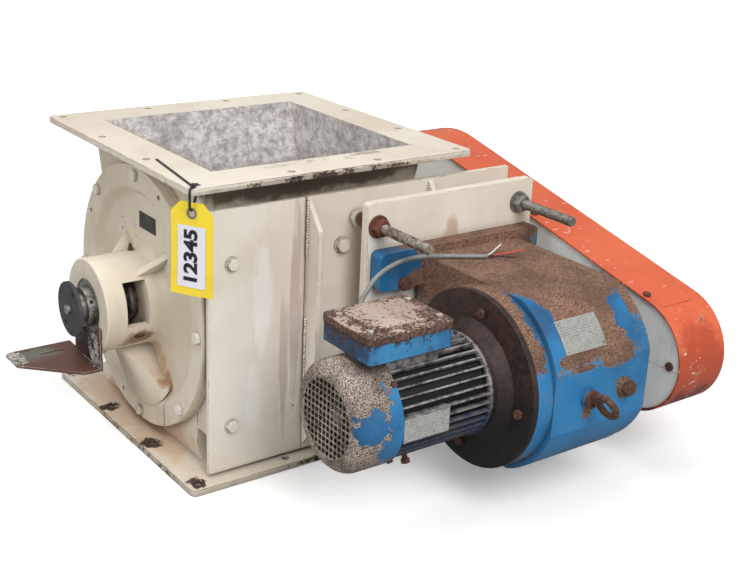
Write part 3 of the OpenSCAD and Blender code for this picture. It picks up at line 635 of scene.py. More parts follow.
@dataclass(frozen=True)
class Moulding:
    """Moulded plastic or rubber, dusty and a little mottled, with painted shade in its corners."""

    name: str
    body: Colour
    dust: Colour
    rough: float = 0.5
    dusting: float = 0.35
    grain: float = 220.0

    def build(self) -> bpy.types.Material:
        """Makes the material.

        Returns:
            The material.
        """
        g = Graph(self.name)
        fine = g.noise(self.grain, 4.0, 0.6)
        film = g.ramp(g.noise(self.grain * 0.2, 5.0, 0.62, shift=3.0), 0.42, 0.72)
        worn = g.maths("MAXIMUM", film, g.edge(0.0009) * 0.6)
        colour = g.mix(worn * self.dusting, self.body, self.dust)
        # Painted shade: a darker copy of the body colour in corners, by an ambient-occlusion mask.
        colour = g.mix(g.cavity(0.01) * 0.4, colour, tuple(c * 0.4 for c in self.body))
        return g.done(colour, film * 0.2 + self.rough, height=fine * 0.4, depth=0.0002,
                      edge=0.0006)


@dataclass(frozen=True)
class Card:
    """Matt printed card or plastic film with light creases and handling dirt."""

    name: str
    face: Colour
    worn: Colour
    rough: float = 0.45

    def build(self) -> bpy.types.Material:
        """Makes the material.

        Returns:
            The material.
        """
        g = Graph(self.name)
        fibre = g.noise(600.0, 3.0)
        smudge = g.ramp(g.noise(42.0, 6.0, 0.6, shift=2.0), 0.45, 0.75)
        colour = g.mix(smudge * 0.5, self.face, self.worn)
        return g.done(colour, smudge * 0.15 + self.rough, height=fibre, depth=0.00005, edge=0.0)


# ======================================================================================
# Meshes
# ======================================================================================


def add_object(name: str, data: bpy.types.ID, finish: bpy.types.Material) -> bpy.types.Object:
    """Links an object for a mesh or curve, with one material.

    Args:
        name: The piece's name.
        data: Its mesh or curve.
        finish: Its material.

    Returns:
        The object, at the origin.
    """
    data.materials.clear()
    data.materials.append(finish)
    made = bpy.data.objects.new(name, data)
    bpy.context.scene.collection.objects.link(made)
    return made


def settle(piece: bpy.types.Object, body: Body, slot: str, *nodes: str) -> bpy.types.Object:
    """Puts a piece on its body and hides the CAD nodes that it stands for.

    Args:
        piece: The piece.
        body: The body it rides on.
        slot: The record's material slot; not used.
        *nodes: CAD nodes that it replaces.

    Returns:
        The piece.
    """
    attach(piece, body.value)
    if nodes:
        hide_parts(*nodes)
    log.info("%s rides on %s", piece.name, body.value)
    return piece


def plain_mesh(host: bpy.types.Object) -> bpy.types.Mesh:
    """Turns a host object's evaluated result into a plain mesh and removes the host.

    Args:
        host: The host, already in the scene.

    Returns:
        The mesh.
    """
    host.update_tag()
    bpy.context.view_layer.update()
    graph = bpy.context.evaluated_depsgraph_get()
    data = bpy.data.meshes.new_from_object(host.evaluated_get(graph), depsgraph=graph)
    host.modifiers.clear()
    bpy.data.objects.remove(host)
    return data


def closed_mesh(bm: bmesh.types.BMesh, name: str) -> bpy.types.Mesh:
    """Turns a closed shape's faces outwards and keeps it as a mesh.

    Args:
        bm: The shape, which is freed.
        name: Name of the mesh.

    Returns:
        The mesh.
    """
    bmesh.ops.recalc_face_normals(bm, faces=bm.faces)
    data = bpy.data.meshes.new(name)
    bm.to_mesh(data)
    bm.free()
    return data


def smooth_route(points: Sequence[Point], steps: int = 6) -> list[Vector]:
    """A smooth line through points, as a Catmull-Rom curve.

    Args:
        points: The points it passes through.
        steps: Samples for each stretch.

    Returns:
        Points along the line.
    """
    p = [Vector(q) for q in points]
    p = [p[0] * 2 - p[1], *p, p[-1] * 2 - p[-2]]
    line: list[Vector] = []
    for a, b, c, d in zip(p, p[1:], p[2:], p[3:]):
        for k in range(steps):
            t = k / steps
            line.append(0.5 * (2 * b + (c - a) * t + (2 * a - 5 * b + 4 * c - d) * t * t
                               + (3 * b - a - 3 * c + d) * t * t * t))
    return [*line, p[-2]]


def route_length(line: Sequence[Vector]) -> float:
    """Length of a line of points, in metres."""
    return sum((b - a).length for a, b in zip(line, line[1:]))


def tube(name: str, line: Sequence[Vector], radius: float) -> bpy.types.Curve:
    """A round open curve with closed ends.

    Args:
        name: Name of the curve.
        line: Points that it follows.
        radius: Its radius, in metres.

    Returns:
        The curve.
    """
    curve = bpy.data.curves.new(name, "CURVE")
    curve.dimensions = "3D"
    curve.bevel_depth = radius
    curve.bevel_resolution = 5
    curve.use_fill_caps = True
    spline = curve.splines.new("POLY")
    spline.points.add(len(line) - 1)
    for knot, place in zip(spline.points, line):
        knot.co = (*place, 1.0)
    spline.use_smooth = True
    return curve


class Shape:
    """A mesh under construction, with the few solids that the small pieces need."""

    def __init__(self) -> None:
        """Starts an empty mesh."""
        self.bm = bmesh.new()

    def lathe(self, profile: Sequence[tuple[float, float]], frame_: Matrix,
              sides: int = 24) -> None:
        """Turns a profile about the frame's Z axis.

        Args:
            profile: (radius, height) from the bottom to the top; 0 closes an end.
            frame_: Where the turned solid goes.
            sides: Facets round it.
        """
        rings = []
        for radius, height in profile:
            count = sides if radius > 0 else 1
            rings.append([self.bm.verts.new(frame_ @ Vector((
                radius * math.cos(math.tau * k / sides), radius * math.sin(math.tau * k / sides),
                height))) for k in range(count)])
        for low, high in zip(rings, rings[1:]):
            for k in range(sides):
                quad = [low[k % len(low)], low[(k + 1) % len(low)],
                        high[(k + 1) % len(high)], high[k % len(high)]]
                corners = list(dict.fromkeys(quad))
                if len(corners) > 2:
                    self.bm.faces.new(corners)

    def mesh(self, name: str, smooth: bool = True) -> bpy.types.Mesh:
        """Closes the mesh off.

        Args:
            name: Name of the mesh.
            smooth: Whether its faces shade smoothly.

        Returns:
            The mesh, with its faces outwards.
        """
        bmesh.ops.remove_doubles(self.bm, verts=self.bm.verts, dist=1e-6)
        data = closed_mesh(self.bm, name)
        for face in data.polygons:
            face.use_smooth = smooth
        return data


class Input(Enum):
    """Socket types of the inputs of a geometry tree."""

    NUMBER = "NodeSocketFloat"
    COUNT = "NodeSocketInt"
    POINT = "NodeSocketVector"
    FINISH = "NodeSocketMaterial"


class GeometryTree:
    """A Geometry Nodes tree with named inputs that ends in Realize Instances and Set Material."""

    def __init__(self, name: str, inputs: dict[str, Input]) -> None:
        """Starts the tree.

        Args:
            name: Name of the tree.
            inputs: Its named inputs and their types. A Finish input is added.
        """
        self.tree = bpy.data.node_groups.new(name, "GeometryNodeTree")
        self.ids: dict[str, str] = {}
        face = self.tree.interface
        face.new_socket("Geometry", in_out="INPUT", socket_type="NodeSocketGeometry")
        for key, kind in {**inputs, "Finish": Input.FINISH}.items():
            made = face.new_socket(key, in_out="INPUT", socket_type=kind.value)
            self.ids[key] = made.identifier
        face.new_socket("Geometry", in_out="OUTPUT", socket_type="NodeSocketGeometry")
        self.inputs = self.tree.nodes.new("NodeGroupInput")

    def node(self, kind: str, links: dict[Union[str, int], object] | None = None,
             **settings: object) -> bpy.types.Node:
        """Adds a node.

        Args:
            kind: The node's type.
            links: For each input, a node, an output socket, a value, or the name of one of
                the tree's inputs as "=Name".
            **settings: Properties to set on it.

        Returns:
            The node.
        """
        fed = {key: self.inputs.outputs[value[1:]]
               if isinstance(value, str) and value.startswith("=") else value
               for key, value in (links or {}).items()}
        return add_node(self.tree, kind, fed, **settings)

    def join(self, *shapes: bpy.types.Node) -> bpy.types.Node:
        """Joins the geometry of several nodes and returns the joining node."""
        both = self.node("GeometryNodeJoinGeometry")
        for shape in shapes:
            self.tree.links.new(shape.outputs[0], both.inputs[0])
        return both

    def close(self, geometry: bpy.types.Node) -> None:
        """Ends the tree: real geometry with the Finish input's material.

        Args:
            geometry: The node whose geometry is the result.
        """
        real = self.node("GeometryNodeRealizeInstances", {0: geometry})
        coated = self.node("GeometryNodeSetMaterial", {"Geometry": real, "Material": "=Finish"})
        self.node("NodeGroupOutput", {0: coated})

    def make(self, name: str, values: dict[str, object]) -> bpy.types.Object:
        """Runs the tree once and returns its result as a plain mesh object.

        Args:
            name: Name of the piece.
            values: A value for each named input, Finish among them.

        Returns:
            The object, with no modifier.
        """
        host = bpy.data.objects.new(name + "_host", bpy.data.meshes.new(name + "_host"))
        bpy.context.scene.collection.objects.link(host)
        modifier = host.modifiers.new("shape", "NODES")
        modifier.node_group = self.tree
        for key, value in values.items():
            modifier[self.ids[key]] = value
        return add_object(name, plain_mesh(host), values["Finish"])


def thread_tree() -> GeometryTree:
    """A screw thread: a sharp ridge wound round a rod along +Y.

    Returns:
        The tree, with inputs Start, Length, Core, Crest and Pitch.
    """
    t = GeometryTree("screw_thread", {"Start": Input.POINT, "Length": Input.NUMBER,
                                      "Core": Input.NUMBER, "Crest": Input.NUMBER,
                                      "Pitch": Input.NUMBER})
    turns = t.node("ShaderNodeMath", {0: "=Length", 1: "=Pitch"}, operation="DIVIDE")
    helix = t.node("GeometryNodeCurveSpiral", {
        "Resolution": 18, "Rotations": turns, "Start Radius": "=Core", "End Radius": "=Core",
        "Height": "=Length"})
    half = t.node("ShaderNodeMath", {0: "=Pitch", 1: 0.52}, operation="MULTIPLY")
    rise = t.node("ShaderNodeMath", {0: "=Crest", 1: "=Core"}, operation="SUBTRACT")
    ridge = t.node("GeometryNodeCurvePrimitiveCircle", {"Resolution": 4, "Radius": 1.0})
    scale = t.node("ShaderNodeCombineXYZ", {0: rise, 1: half, 2: 1.0})
    profile = t.node("GeometryNodeTransform", {"Geometry": ridge, "Scale": scale})
    wound = t.node("GeometryNodeCurveToMesh", {"Curve": helix, "Profile Curve": profile,
                                               "Fill Caps": True})
    rod = t.node("GeometryNodeMeshCylinder", {"Vertices": 24, "Radius": "=Core",
                                              "Depth": "=Length"})
    lift = t.node("ShaderNodeMath", {0: "=Length", 1: 0.5}, operation="MULTIPLY")
    place = t.node("ShaderNodeCombineXYZ", {2: lift})
    core = t.node("GeometryNodeTransform", {"Geometry": rod, "Translation": place})
    both = t.join(wound, core)
    turned = t.node("GeometryNodeTransform", {"Geometry": both, "Translation": "=Start",
                                              "Rotation": (QUARTER, 0.0, 0.0)})
    t.close(turned)
    return t


def weld_tree() -> GeometryTree:
    """A weld bead: overlapping ripples of uneven size along a straight seam.

    Returns:
        The tree, with inputs From, To, Width, Step and Seed.
    """
    t = GeometryTree("weld_bead", {"From": Input.POINT, "To": Input.POINT,
                                   "Width": Input.NUMBER, "Step": Input.NUMBER,
                                   "Seed": Input.COUNT})
    line = t.node("GeometryNodeCurvePrimitiveLine", {"Start": "=From", "End": "=To"})
    dots = t.node("GeometryNodeCurveToPoints", {"Curve": line, "Length": "=Step"}, mode="LENGTH")
    blob = t.node("GeometryNodeMeshIcoSphere", {"Radius": 0.5, "Subdivisions": 2})
    size = t.node("FunctionNodeRandomValue", {2: 0.8, 3: 1.2, "Seed": "=Seed"},
                  data_type="FLOAT")
    width = t.node("ShaderNodeMath", {0: size.outputs[1], 1: "=Width"}, operation="MULTIPLY")
    scale = t.node("ShaderNodeCombineXYZ", {0: width, 1: width, 2: width})
    drift = t.node("FunctionNodeRandomValue", {0: (-0.1, -0.1, -0.1), 1: (0.1, 0.1, 0.1),
                                               "Seed": "=Seed"}, data_type="FLOAT_VECTOR")
    shift = t.node("ShaderNodeVectorMath", {0: drift.outputs[0], "Scale": "=Width"},
                   operation="SCALE")
    moved = t.node("GeometryNodeSetPosition", {"Geometry": dots, "Offset": shift})
    beads = t.node("GeometryNodeInstanceOnPoints", {"Points": moved, "Instance": blob,
                                                    "Scale": scale})
    t.close(beads)
    return t


def rivet_tree() -> GeometryTree:
    """Four domed rivets at the corners of a plate that may be bent round its long side.

    Returns:
        The tree, with inputs Centre, Turn, Wide, High, Bend and Size.
    """
    t = GeometryTree("corner_rivets", {"Centre": Input.POINT, "Turn": Input.POINT,
                                       "Wide": Input.NUMBER, "High": Input.NUMBER,
                                       "Bend": Input.NUMBER, "Size": Input.NUMBER})
    grid = t.node("GeometryNodeMeshGrid", {"Size X": "=Wide", "Size Y": "=High",
                                           "Vertices X": 2, "Vertices Y": 2})
    drop = t.node("ShaderNodeCombineXYZ", {2: "=Bend"})
    lowered = t.node("GeometryNodeSetPosition", {"Geometry": grid, "Offset": drop})
    dome = t.node("GeometryNodeMeshUVSphere", {"Segments": 14, "Rings": 8, "Radius": "=Size"})
    flat = t.node("GeometryNodeTransform", {"Geometry": dome, "Scale": (1.0, 1.0, 0.62)})
    heads = t.node("GeometryNodeInstanceOnPoints", {"Points": lowered, "Instance": flat})
    turned = t.node("GeometryNodeTransform", {"Geometry": heads, "Translation": "=Centre",
                                              "Rotation": "=Turn"})
    t.close(turned)
    return t


def rivet_plate(name: str, body: Body, place: Point, turn: Point, size: tuple[float, float],
                head: float, sag: float = 0.0) -> None:
    """Rivets the four corners of a nameplate.

    Args:
        name: Name of the piece.
        body: The body it rides on.
        place: Centre of the plate.
        turn: Its rotation, in radians.
        size: Distance between the rivets along and across it.
        head: Radius of a rivet's head.
        sag: How far the corners of a bent plate lie over its middle.
    """
    rivets = rivet_tree().make(name, {
        "Centre": place, "Turn": turn, "Wide": size[0], "High": size[1], "Bend": sag,
        "Size": head, "Finish": material(STEEL)})
    settle(rivets, body, "plate_alloy")


def tip_bolt_tree() -> GeometryTree:
    """Rows of hexagon bolts that hold the wear strips on the rotor vanes.

    Returns:
        The tree, with inputs Vanes, Count, Pitch, Radius, Side, Size, First and Centre.
    """
    t = GeometryTree("vane_tip_bolts", {
        "Vanes": Input.COUNT, "Count": Input.COUNT, "Pitch": Input.NUMBER,
        "Radius": Input.NUMBER, "Side": Input.NUMBER, "Size": Input.NUMBER,
        "First": Input.NUMBER, "Centre": Input.POINT})
    start = t.node("ShaderNodeCombineXYZ", {0: "=First", 1: "=Side", 2: "=Radius"})
    step = t.node("ShaderNodeCombineXYZ", {0: "=Pitch"})
    row = t.node("GeometryNodeMeshLine", {"Count": "=Count", "Start Location": start,
                                          "Offset": step}, mode="OFFSET")
    head = t.node("GeometryNodeMeshCylinder", {"Vertices": 6, "Radius": "=Size",
                                               "Depth": "=Size"})
    wide, tall = (t.node("ShaderNodeMath", {0: "=Size", 1: share}, operation="MULTIPLY")
                  for share in (0.8, 0.75))
    crown = t.node("GeometryNodeMeshCone", {"Vertices": 24, "Radius Top": 0.0,
                                            "Radius Bottom": wide, "Depth": tall})
    both = t.join(head, crown)
    laid = t.node("GeometryNodeTransform", {"Geometry": both,
                                            "Rotation": (-QUARTER, 0.0, 0.0)})
    bolts = t.node("GeometryNodeInstanceOnPoints", {"Points": row, "Instance": laid})
    spokes = t.node("GeometryNodeMeshLine", {"Count": "=Vanes", "Offset": (0.0, 0.0, 0.0)},
                    mode="OFFSET")
    index = t.node("GeometryNodeInputIndex")
    whole = t.node("ShaderNodeMath", {0: math.tau, 1: "=Vanes"}, operation="DIVIDE")
    shifted = t.node("ShaderNodeMath", {0: index, 1: 0.5}, operation="ADD")
    angle = t.node("ShaderNodeMath", {0: shifted, 1: whole}, operation="MULTIPLY")
    turn = t.node("ShaderNodeCombineXYZ", {0: angle})
    wheel = t.node("GeometryNodeInstanceOnPoints", {"Points": spokes, "Instance": bolts,
                                                    "Rotation": turn})
    moved = t.node("GeometryNodeTransform", {"Geometry": wheel, "Translation": "=Centre"})
    t.close(moved)
    return t


# ======================================================================================
# Finishes of this valve's own pieces
# ======================================================================================


@dataclass(frozen=True)
class HousingPaint(WornPaint):
    """Cream enamel outside, mottled bare iron in the bore and both throats, darkened by painted
    shade lower down inside.
    """

    bore_half: float = 0.1783
    bore_radius: float = 0.1782
    throat_from: float = 0.33
    flare_from: float = 0.3382
    flare_half: float = 0.1410
    flare_slope: float = 0.287
    outlet_to: float = 0.13
    outlet_half: float = 0.1507
    outlet_slope: float = 0.08

    def inside(self, g: Graph) -> Signal:
        """1 on the bore and the throats' walls, and 0 on the painted outside.

        Args:
            g: The tree to add to.

        Returns:
            The mask.
        """
        across = g.maths("ABSOLUTE", g.along(Axis.Y.value))
        height = g.along(Axis.Z.value)
        span = g.maths("LESS_THAN", g.maths("ABSOLUTE", g.along(Axis.X.value)), self.bore_half)
        offset = g.vector("SUBTRACT", g.coord, (0.0, 0.0, AXIS_Z))
        radius = g.vector("LENGTH", g.vector("MULTIPLY", offset, (0.0, 1.0, 1.0)))
        bore = g.maths("LESS_THAN", radius, self.bore_radius)
        flare = (height - self.flare_from) * self.flare_slope + self.flare_half
        above = g.maths("GREATER_THAN", height, self.throat_from)
        above = above * g.maths("LESS_THAN", across, flare)
        taper = self.outlet_half - height * self.outlet_slope
        below = g.maths("LESS_THAN", height, self.outlet_to)
        below = below * g.maths("LESS_THAN", across, taper)
        return span * g.maths("MAXIMUM", bore, g.maths("MAXIMUM", above, below))

    def lining(self, g: Graph, colour: Signal, rough: Signal, relief: Signal
               ) -> tuple[Signal, Signal, Term, Signal]:
        """Lays the bare iron over the inside faces, with painted shade growing lower down.

        Args:
            g: The tree to add to.
            colour: The painted colour.
            rough: The painted roughness.
            relief: The painted relief.

        Returns:
            Colour, roughness, metallic share and relief with the lining in place.
        """
        mask = self.inside(g)
        mottle = g.noise(70.0, 9.0, 0.78, shift=11.0)
        fine = g.noise(210.0, 6.0, 0.7, stretch=(0.5, 1.0, 1.4), shift=12.0)
        iron = g.mix(g.ramp(mottle, 0.36, 0.62), rgb(158, 151, 147), rgb(222, 217, 214))
        iron = g.mix(g.ramp(fine, 0.55, 0.66) * 0.55, iron, rgb(112, 103, 98))
        worn = g.ramp(g.noise(9.0, 6.0, 0.7, stretch=(1.0, 1.0, 1.6), shift=14.0), 0.5, 0.66)
        iron = g.mix(worn * 0.4, iron, rgb(128, 120, 115))
        # Painted shade: the iron darkens lower down the throats and in the bore.
        throat_shade = g.ramp(g.along(Axis.Z.value), 0.40, 0.31)
        iron = g.mix(throat_shade * 0.35, iron, rgb(70, 58, 50))
        colour = g.mix(mask, colour, iron)
        blended = rough + mask * (fine * 0.3 + 0.22 - rough)
        return colour, blended, mask * 0.15, relief + mask * (mottle * 0.5)


@dataclass(frozen=True)
class FinnedPaint:
    """Motor casing: painted shadow, near black and bluer lower down, between the fins, worn grey
    on their tips, rusty flange.
    """

    name: str
    tip_radius: float = 0.075
    flange_x: float = 0.056

    def build(self) -> bpy.types.Material:
        """Makes the material.

        Returns:
            The material.
        """
        g = Graph(self.name)
        offset = g.vector("SUBTRACT", g.coord, (0.0, GEAR_Y, GEAR_Z))
        radius = g.vector("LENGTH", g.vector("MULTIPLY", offset, (0.0, 1.0, 1.0)))
        depth = g.ramp(radius, self.tip_radius - 0.010, self.tip_radius - 0.002)
        low = g.ramp(g.along(Axis.Z.value), 0.225, 0.175)
        mottle = g.noise(60.0, 8.0, 0.75)
        fine = g.noise(260.0, 5.0, 0.66, shift=3.0)
        # Painted shadow in the gaps between the fins: near black, bluer lower down.
        gap_shadow = g.mix(low * 0.7, rgb(9, 9, 11), rgb(6, 14, 32))
        tip = g.mix(g.ramp(mottle, 0.36, 0.6), rgb(66, 62, 64), rgb(158, 154, 152))
        tip = g.mix(low * 0.8, tip, g.mix(g.ramp(mottle, 0.42, 0.6), rgb(22, 54, 92),
                                          rgb(26, 28, 36)))
        tip = g.mix(g.ramp(fine, 0.56, 0.66) * 0.6, tip, rgb(58, 42, 36))
        colour = g.mix(depth, gap_shadow, tip)
        rusty = g.mix(g.ramp(mottle, 0.36, 0.64), rgb(34, 24, 22), rgb(66, 44, 37))
        rusty = g.mix(g.ramp(fine, 0.6, 0.7) * 0.5, rusty, rgb(110, 82, 66))
        black = g.ramp(g.along(Axis.Z.value), 0.27, 0.16)
        rusty = g.mix(black * 0.92, rusty, rgb(5, 5, 6))
        field_ = (mottle - 0.5) * 2.2 - 0.42 + black * 0.08
        rusty = g.mix(g.ramp(field_, 0.0, 0.04), rusty, rgb(38, 92, 142))
        flange = g.ramp(g.along(Axis.X.value), self.flange_x, self.flange_x + 0.004)
        colour = g.mix(flange, colour, rusty)
        return g.done(colour, fine * 0.3 + 0.42, 0.1, mottle * 0.6 + fine * 0.3, 0.0006)


CREAM_COAT = rgb(233, 226, 214)
CREAM_FADED = rgb(221, 210, 194)
BLUE_COAT = rgb(40, 122, 176)
BLUE_FADED = rgb(16, 64, 102)
RUST_LIGHT = rgb(150, 114, 92)
RUST_DARK = rgb(80, 56, 45)
UP = (0.0, 0.0, 1.0)

HOUSING = HousingPaint(
    "cream_enamel_and_bare_bore", rgb(222, 213, 198), rgb(208, 196, 178), bias=-0.64,
    edge_wear=0.62, edge_radius=0.0026, rust=rgb(88, 70, 60), rust_dark=rgb(36, 30, 28),
    streaks=0.22, fleck=0.9,
    slopes=(Slope(UP, 0.013, 0.004, 0.2),),
    patches=(Patch((-0.2476, -0.06, 0.004), (0.03, 0.26, 0.02), 0.34),
             Patch((-0.02, -0.2476, 0.464), (0.26, 0.012, 0.009), 0.62),
             Patch((0.06, -0.2476, 0.006), (0.2, 0.03, 0.012), 0.5),
             Patch((-0.2286, -0.2286, 0.0095), (0.022, 0.022, 0.006), 0.62),
             Patch((-0.2286, -0.0762, 0.0095), (0.024, 0.022, 0.006), 0.62),
             Patch((-0.2286, 0.0762, 0.0095), (0.024, 0.022, 0.006), 0.62),
             Patch((-0.2286, 0.2286, 0.0095), (0.022, 0.022, 0.006), 0.5)),
    colour_films=(ColourFilm((-0.21, 0.03, 0.012), (0.05, 0.24, 0.04), rgb(190, 150, 112), 0.5),
            # Painted shadow under the top flange, on the neck's front wall.
            ColourFilm((-0.02, -0.186, 0.440), (0.30, 0.038, 0.034), rgb(82, 66, 52), 0.8),
            ColourFilm((-0.05, -0.2476, 0.463), (0.3, 0.01, 0.005), rgb(120, 112, 104), 0.6)))
CREAM = WornPaint(
    "cream_enamel", CREAM_COAT, CREAM_FADED, bias=-0.66, edge_wear=0.6, streaks=0.1,
    rust=rgb(96, 72, 58), rust_dark=rgb(42, 34, 30),
    patches=(Patch((-0.0446, PANEL_Y, 0.24), (0.004, 0.02, 0.2), 0.42),
             Patch((-0.06, PANEL_Y, 0.10), (0.012, 0.02, 0.06), 0.3)),
    colour_films=(ColourFilm((-0.060, PANEL_Y, 0.27), (0.012, 0.02, 0.19), rgb(150, 124, 122), 0.5,
                  (5.0, 5.0, 0.4)),
            ColourFilm((-0.078, PANEL_Y, 0.17), (0.010, 0.02, 0.13), rgb(168, 142, 136), 0.45,
                  (5.0, 5.0, 0.4)),
            ColourFilm((-0.118, PANEL_Y, 0.28), (0.020, 0.02, 0.10), rgb(244, 242, 239), 0.5,
                  (3.0, 1.0, 0.8)),
            ColourFilm((-0.130, PANEL_Y, 0.12), (0.018, 0.02, 0.08), rgb(244, 242, 239), 0.45,
                  (3.0, 1.0, 0.8)),
            ColourFilm((0.19, -0.262, 0.335), (0.022, 0.05, 0.05), rgb(176, 138, 96), 0.6,
                  (1.0, 1.0, 0.4))))
COVER = WornPaint(
    "cream_enamel_on_covers", rgb(224, 214, 196), rgb(210, 198, 178), bias=-0.72,
    edge_wear=0.4, streaks=0.14, rust=rgb(96, 70, 54), rust_dark=rgb(44, 34, 28),
    patches=(Patch((-0.240, -0.058, 0.190), (0.026, 0.03, 0.012), 0.66),),
    colour_films=(ColourFilm((-0.238, -0.052, 0.186), (0.034, 0.03, 0.022), rgb(122, 88, 60), 0.9),
            ColourFilm((-0.212, -0.038, 0.150), (0.040, 0.015, 0.026), rgb(200, 160, 120), 0.65),
            ColourFilm((-0.206, -0.054, 0.130), (0.034, 0.016, 0.024), rgb(194, 150, 108), 0.7),
            ColourFilm((-0.202, -0.070, 0.112), (0.030, 0.014, 0.020), rgb(172, 120, 84), 0.8),
            ColourFilm((-0.198, -0.080, 0.098), (0.020, 0.008, 0.014), rgb(138, 90, 64), 0.85),
            ColourFilm((-0.204, -0.084, 0.055), (0.014, 0.0035, 0.055), rgb(150, 92, 70), 0.8,
                  (1.0, 1.0, 0.2))))
BOLT_PAINT = WornPaint("painted_bolts", rgb(234, 228, 216), rgb(214, 206, 192), bias=-0.42,
                       edge_wear=0.5, edge_radius=0.0012, flake=110.0, corner_shade=1.0,
                       rust=rgb(84, 70, 60), rust_dark=rgb(38, 32, 30))
GUARD_BACK = WornPaint("pale_guard_plate", rgb(250, 250, 246), rgb(238, 238, 232), bias=-0.7,
                       edge_wear=0.4, corner_shade=0.5, rust=rgb(88, 72, 60))
ORANGE = WornPaint(
    "orange_enamel", rgb(214, 100, 64), rgb(202, 88, 54), rust=rgb(96, 60, 48),
    rust_dark=rgb(48, 30, 26), dirt=rgb(226, 176, 134), soot_and_shade=rgb(110, 46, 30), bias=-0.6,
    edge_wear=0.36, streaks=0.2, corner_shade=0.35, scratch=0.95, halo=0.8, rough=0.45, fleck=1.1,
    patches=(Patch((0.455, -0.586, 0.262), (0.018, 0.03, 0.016), 0.85),
             Patch((0.43, -0.59, 0.20), (0.08, 0.03, 0.08), 0.26),
             Patch((0.43, -0.52, 0.31), (0.06, 0.05, 0.02), 0.2)),
    colour_films=(ColourFilm((0.436, -0.537, 0.29), (0.07, 0.0014, 0.03), rgb(70, 34, 26), 0.8),
            ColourFilm((0.436, 0.100, 0.40), (0.07, 0.0014, 0.03), rgb(70, 34, 26), 0.8),
            ColourFilm((0.43, -0.585, 0.17), (0.09, 0.06, 0.10), rgb(178, 72, 44), 0.85),
            ColourFilm((0.43, -0.52, 0.09), (0.10, 0.12, 0.085), rgb(98, 36, 25), 0.95)))
GEAR_BLUE = WornPaint(
    "blue_enamel_on_gear_case", BLUE_COAT, BLUE_FADED, RUST_LIGHT, RUST_DARK, bias=-0.62,
    spread=2.4, flake=22.0, edge_wear=0.5, soot_and_shade=rgb(26, 30, 38), dirt=rgb(150, 134, 110),
    streaks=0.12, fleck=1.7, halo=0.6, specks=0.7, corner_shade=0.8, tear=3.2,
    slopes=(Slope(UP, 0.235, 0.285, 1.35), Slope(UP, 0.11, 0.08, 0.5)),
    patches=(Patch((0.060, -0.300, 0.318), (0.070, 0.04, 0.045), -1.5),
             Patch((0.345, -0.300, 0.322), (0.020, 0.04, 0.022), -1.0),
             Patch((0.124, -0.555, 0.292), (0.030, 0.08, 0.060), -1.5),
             Patch((0.278, -0.565, 0.298), (0.024, 0.06, 0.070), -1.35),
             Patch((0.184, -0.602, 0.180), (0.013, 0.02, 0.020), 0.8),
             Patch((0.170, -0.602, 0.249), (0.035, 0.02, 0.008), 0.7),
             Patch((0.256, -0.606, 0.2034), (0.024, 0.02, 0.024), 0.95),
             Patch((0.240, -0.598, 0.252), (0.040, 0.03, 0.018), 0.8)),
    colour_films=(ColourFilm((0.345, -0.300, 0.326), (0.034, 0.05, 0.024), rgb(84, 104, 116), 0.8),))
GEAR_SIDE = WornPaint(
    "blue_enamel_on_gear_cover", BLUE_COAT, BLUE_FADED, RUST_LIGHT, RUST_DARK, bias=-0.4,
    spread=2.4, flake=28.0, edge_wear=0.7, soot_and_shade=rgb(26, 30, 38), dirt=rgb(140, 126, 104),
    fleck=1.6, specks=0.7, streaks=0.12,
    slopes=(Slope(UP, 0.26, 0.33, 0.9), Slope(UP, 0.12, 0.09, 0.4)))
ADAPTER = WornPaint(
    "blue_enamel_on_adapter", BLUE_COAT, BLUE_FADED, RUST_LIGHT, RUST_DARK, bias=-0.4,
    spread=2.3, flake=26.0, edge_wear=0.6, soot_and_shade=rgb(26, 30, 38), dirt=rgb(130, 118, 98),
    fleck=1.6, specks=0.8, streaks=0.12,
    slopes=(Slope(UP, 0.235, 0.285, 1.3), Slope(UP, 0.15, 0.09, 0.5)),
    patches=(Patch((0.119, -0.545, 0.305), (0.013, 0.075, 0.06), -1.6),))
COWL = WornPaint(
    "speckled_cowl", BLUE_COAT, BLUE_FADED, rgb(186, 173, 160), rgb(66, 48, 40), bias=0.5,
    spread=1.6, flake=30.0, edge_wear=0.1, soot_and_shade=rgb(40, 32, 28), dirt=rgb(96, 84, 76),
    grain=560.0, bite=0.05, fleck=1.2, tear=3.4, halo=0.9, specks=0.6, dust=0.0,
    patches=(Patch((-0.106, -0.535, 0.205), (0.026, 0.08, 0.065), -2.3),
             Patch((-0.140, -0.545, 0.216), (0.040, 0.04, 0.024), -2.4)))
BOX_BLUE = WornPaint(
    "blue_enamel_on_terminal_box", rgb(58, 134, 184), rgb(16, 62, 102), rgb(92, 66, 54),
    rgb(38, 30, 30), bias=-0.34, spread=2.3, flake=60.0, edge_wear=0.4, soot_and_shade=rgb(20, 24, 34),
    dirt=rgb(40, 52, 70), streaks=0.8, fleck=1.6, corner_shade=0.8, specks=0.7,
    slopes=(Slope(UP, 0.306, 0.32, 0.3),),
    patches=(Patch((-0.140, -0.45, 0.305), (0.006, 0.08, 0.03), 0.3),),
    colour_films=(ColourFilm((-0.140, -0.46, 0.305), (0.012, 0.07, 0.03), rgb(22, 44, 74), 0.8),))
BOX_LID = WornPaint(
    "worn_terminal_lid", rgb(196, 178, 166), rgb(138, 120, 110), rgb(122, 90, 76),
    rgb(58, 42, 38), bias=0.30, spread=2.2, flake=30.0, edge_wear=0.5, fleck=4.2,
    soot_and_shade=rgb(76, 56, 50), dirt=rgb(158, 122, 106), halo=0.9, streaks=0.5, tear=1.6,
    specks=0.6, dust=0.5, grain=260.0,
    slopes=(Slope(UP, 0.3275, 0.3265, 0.9),),
    patches=(Patch((-0.082, -0.452, 0.334), (0.080, 0.068, 0.03), -0.72),))
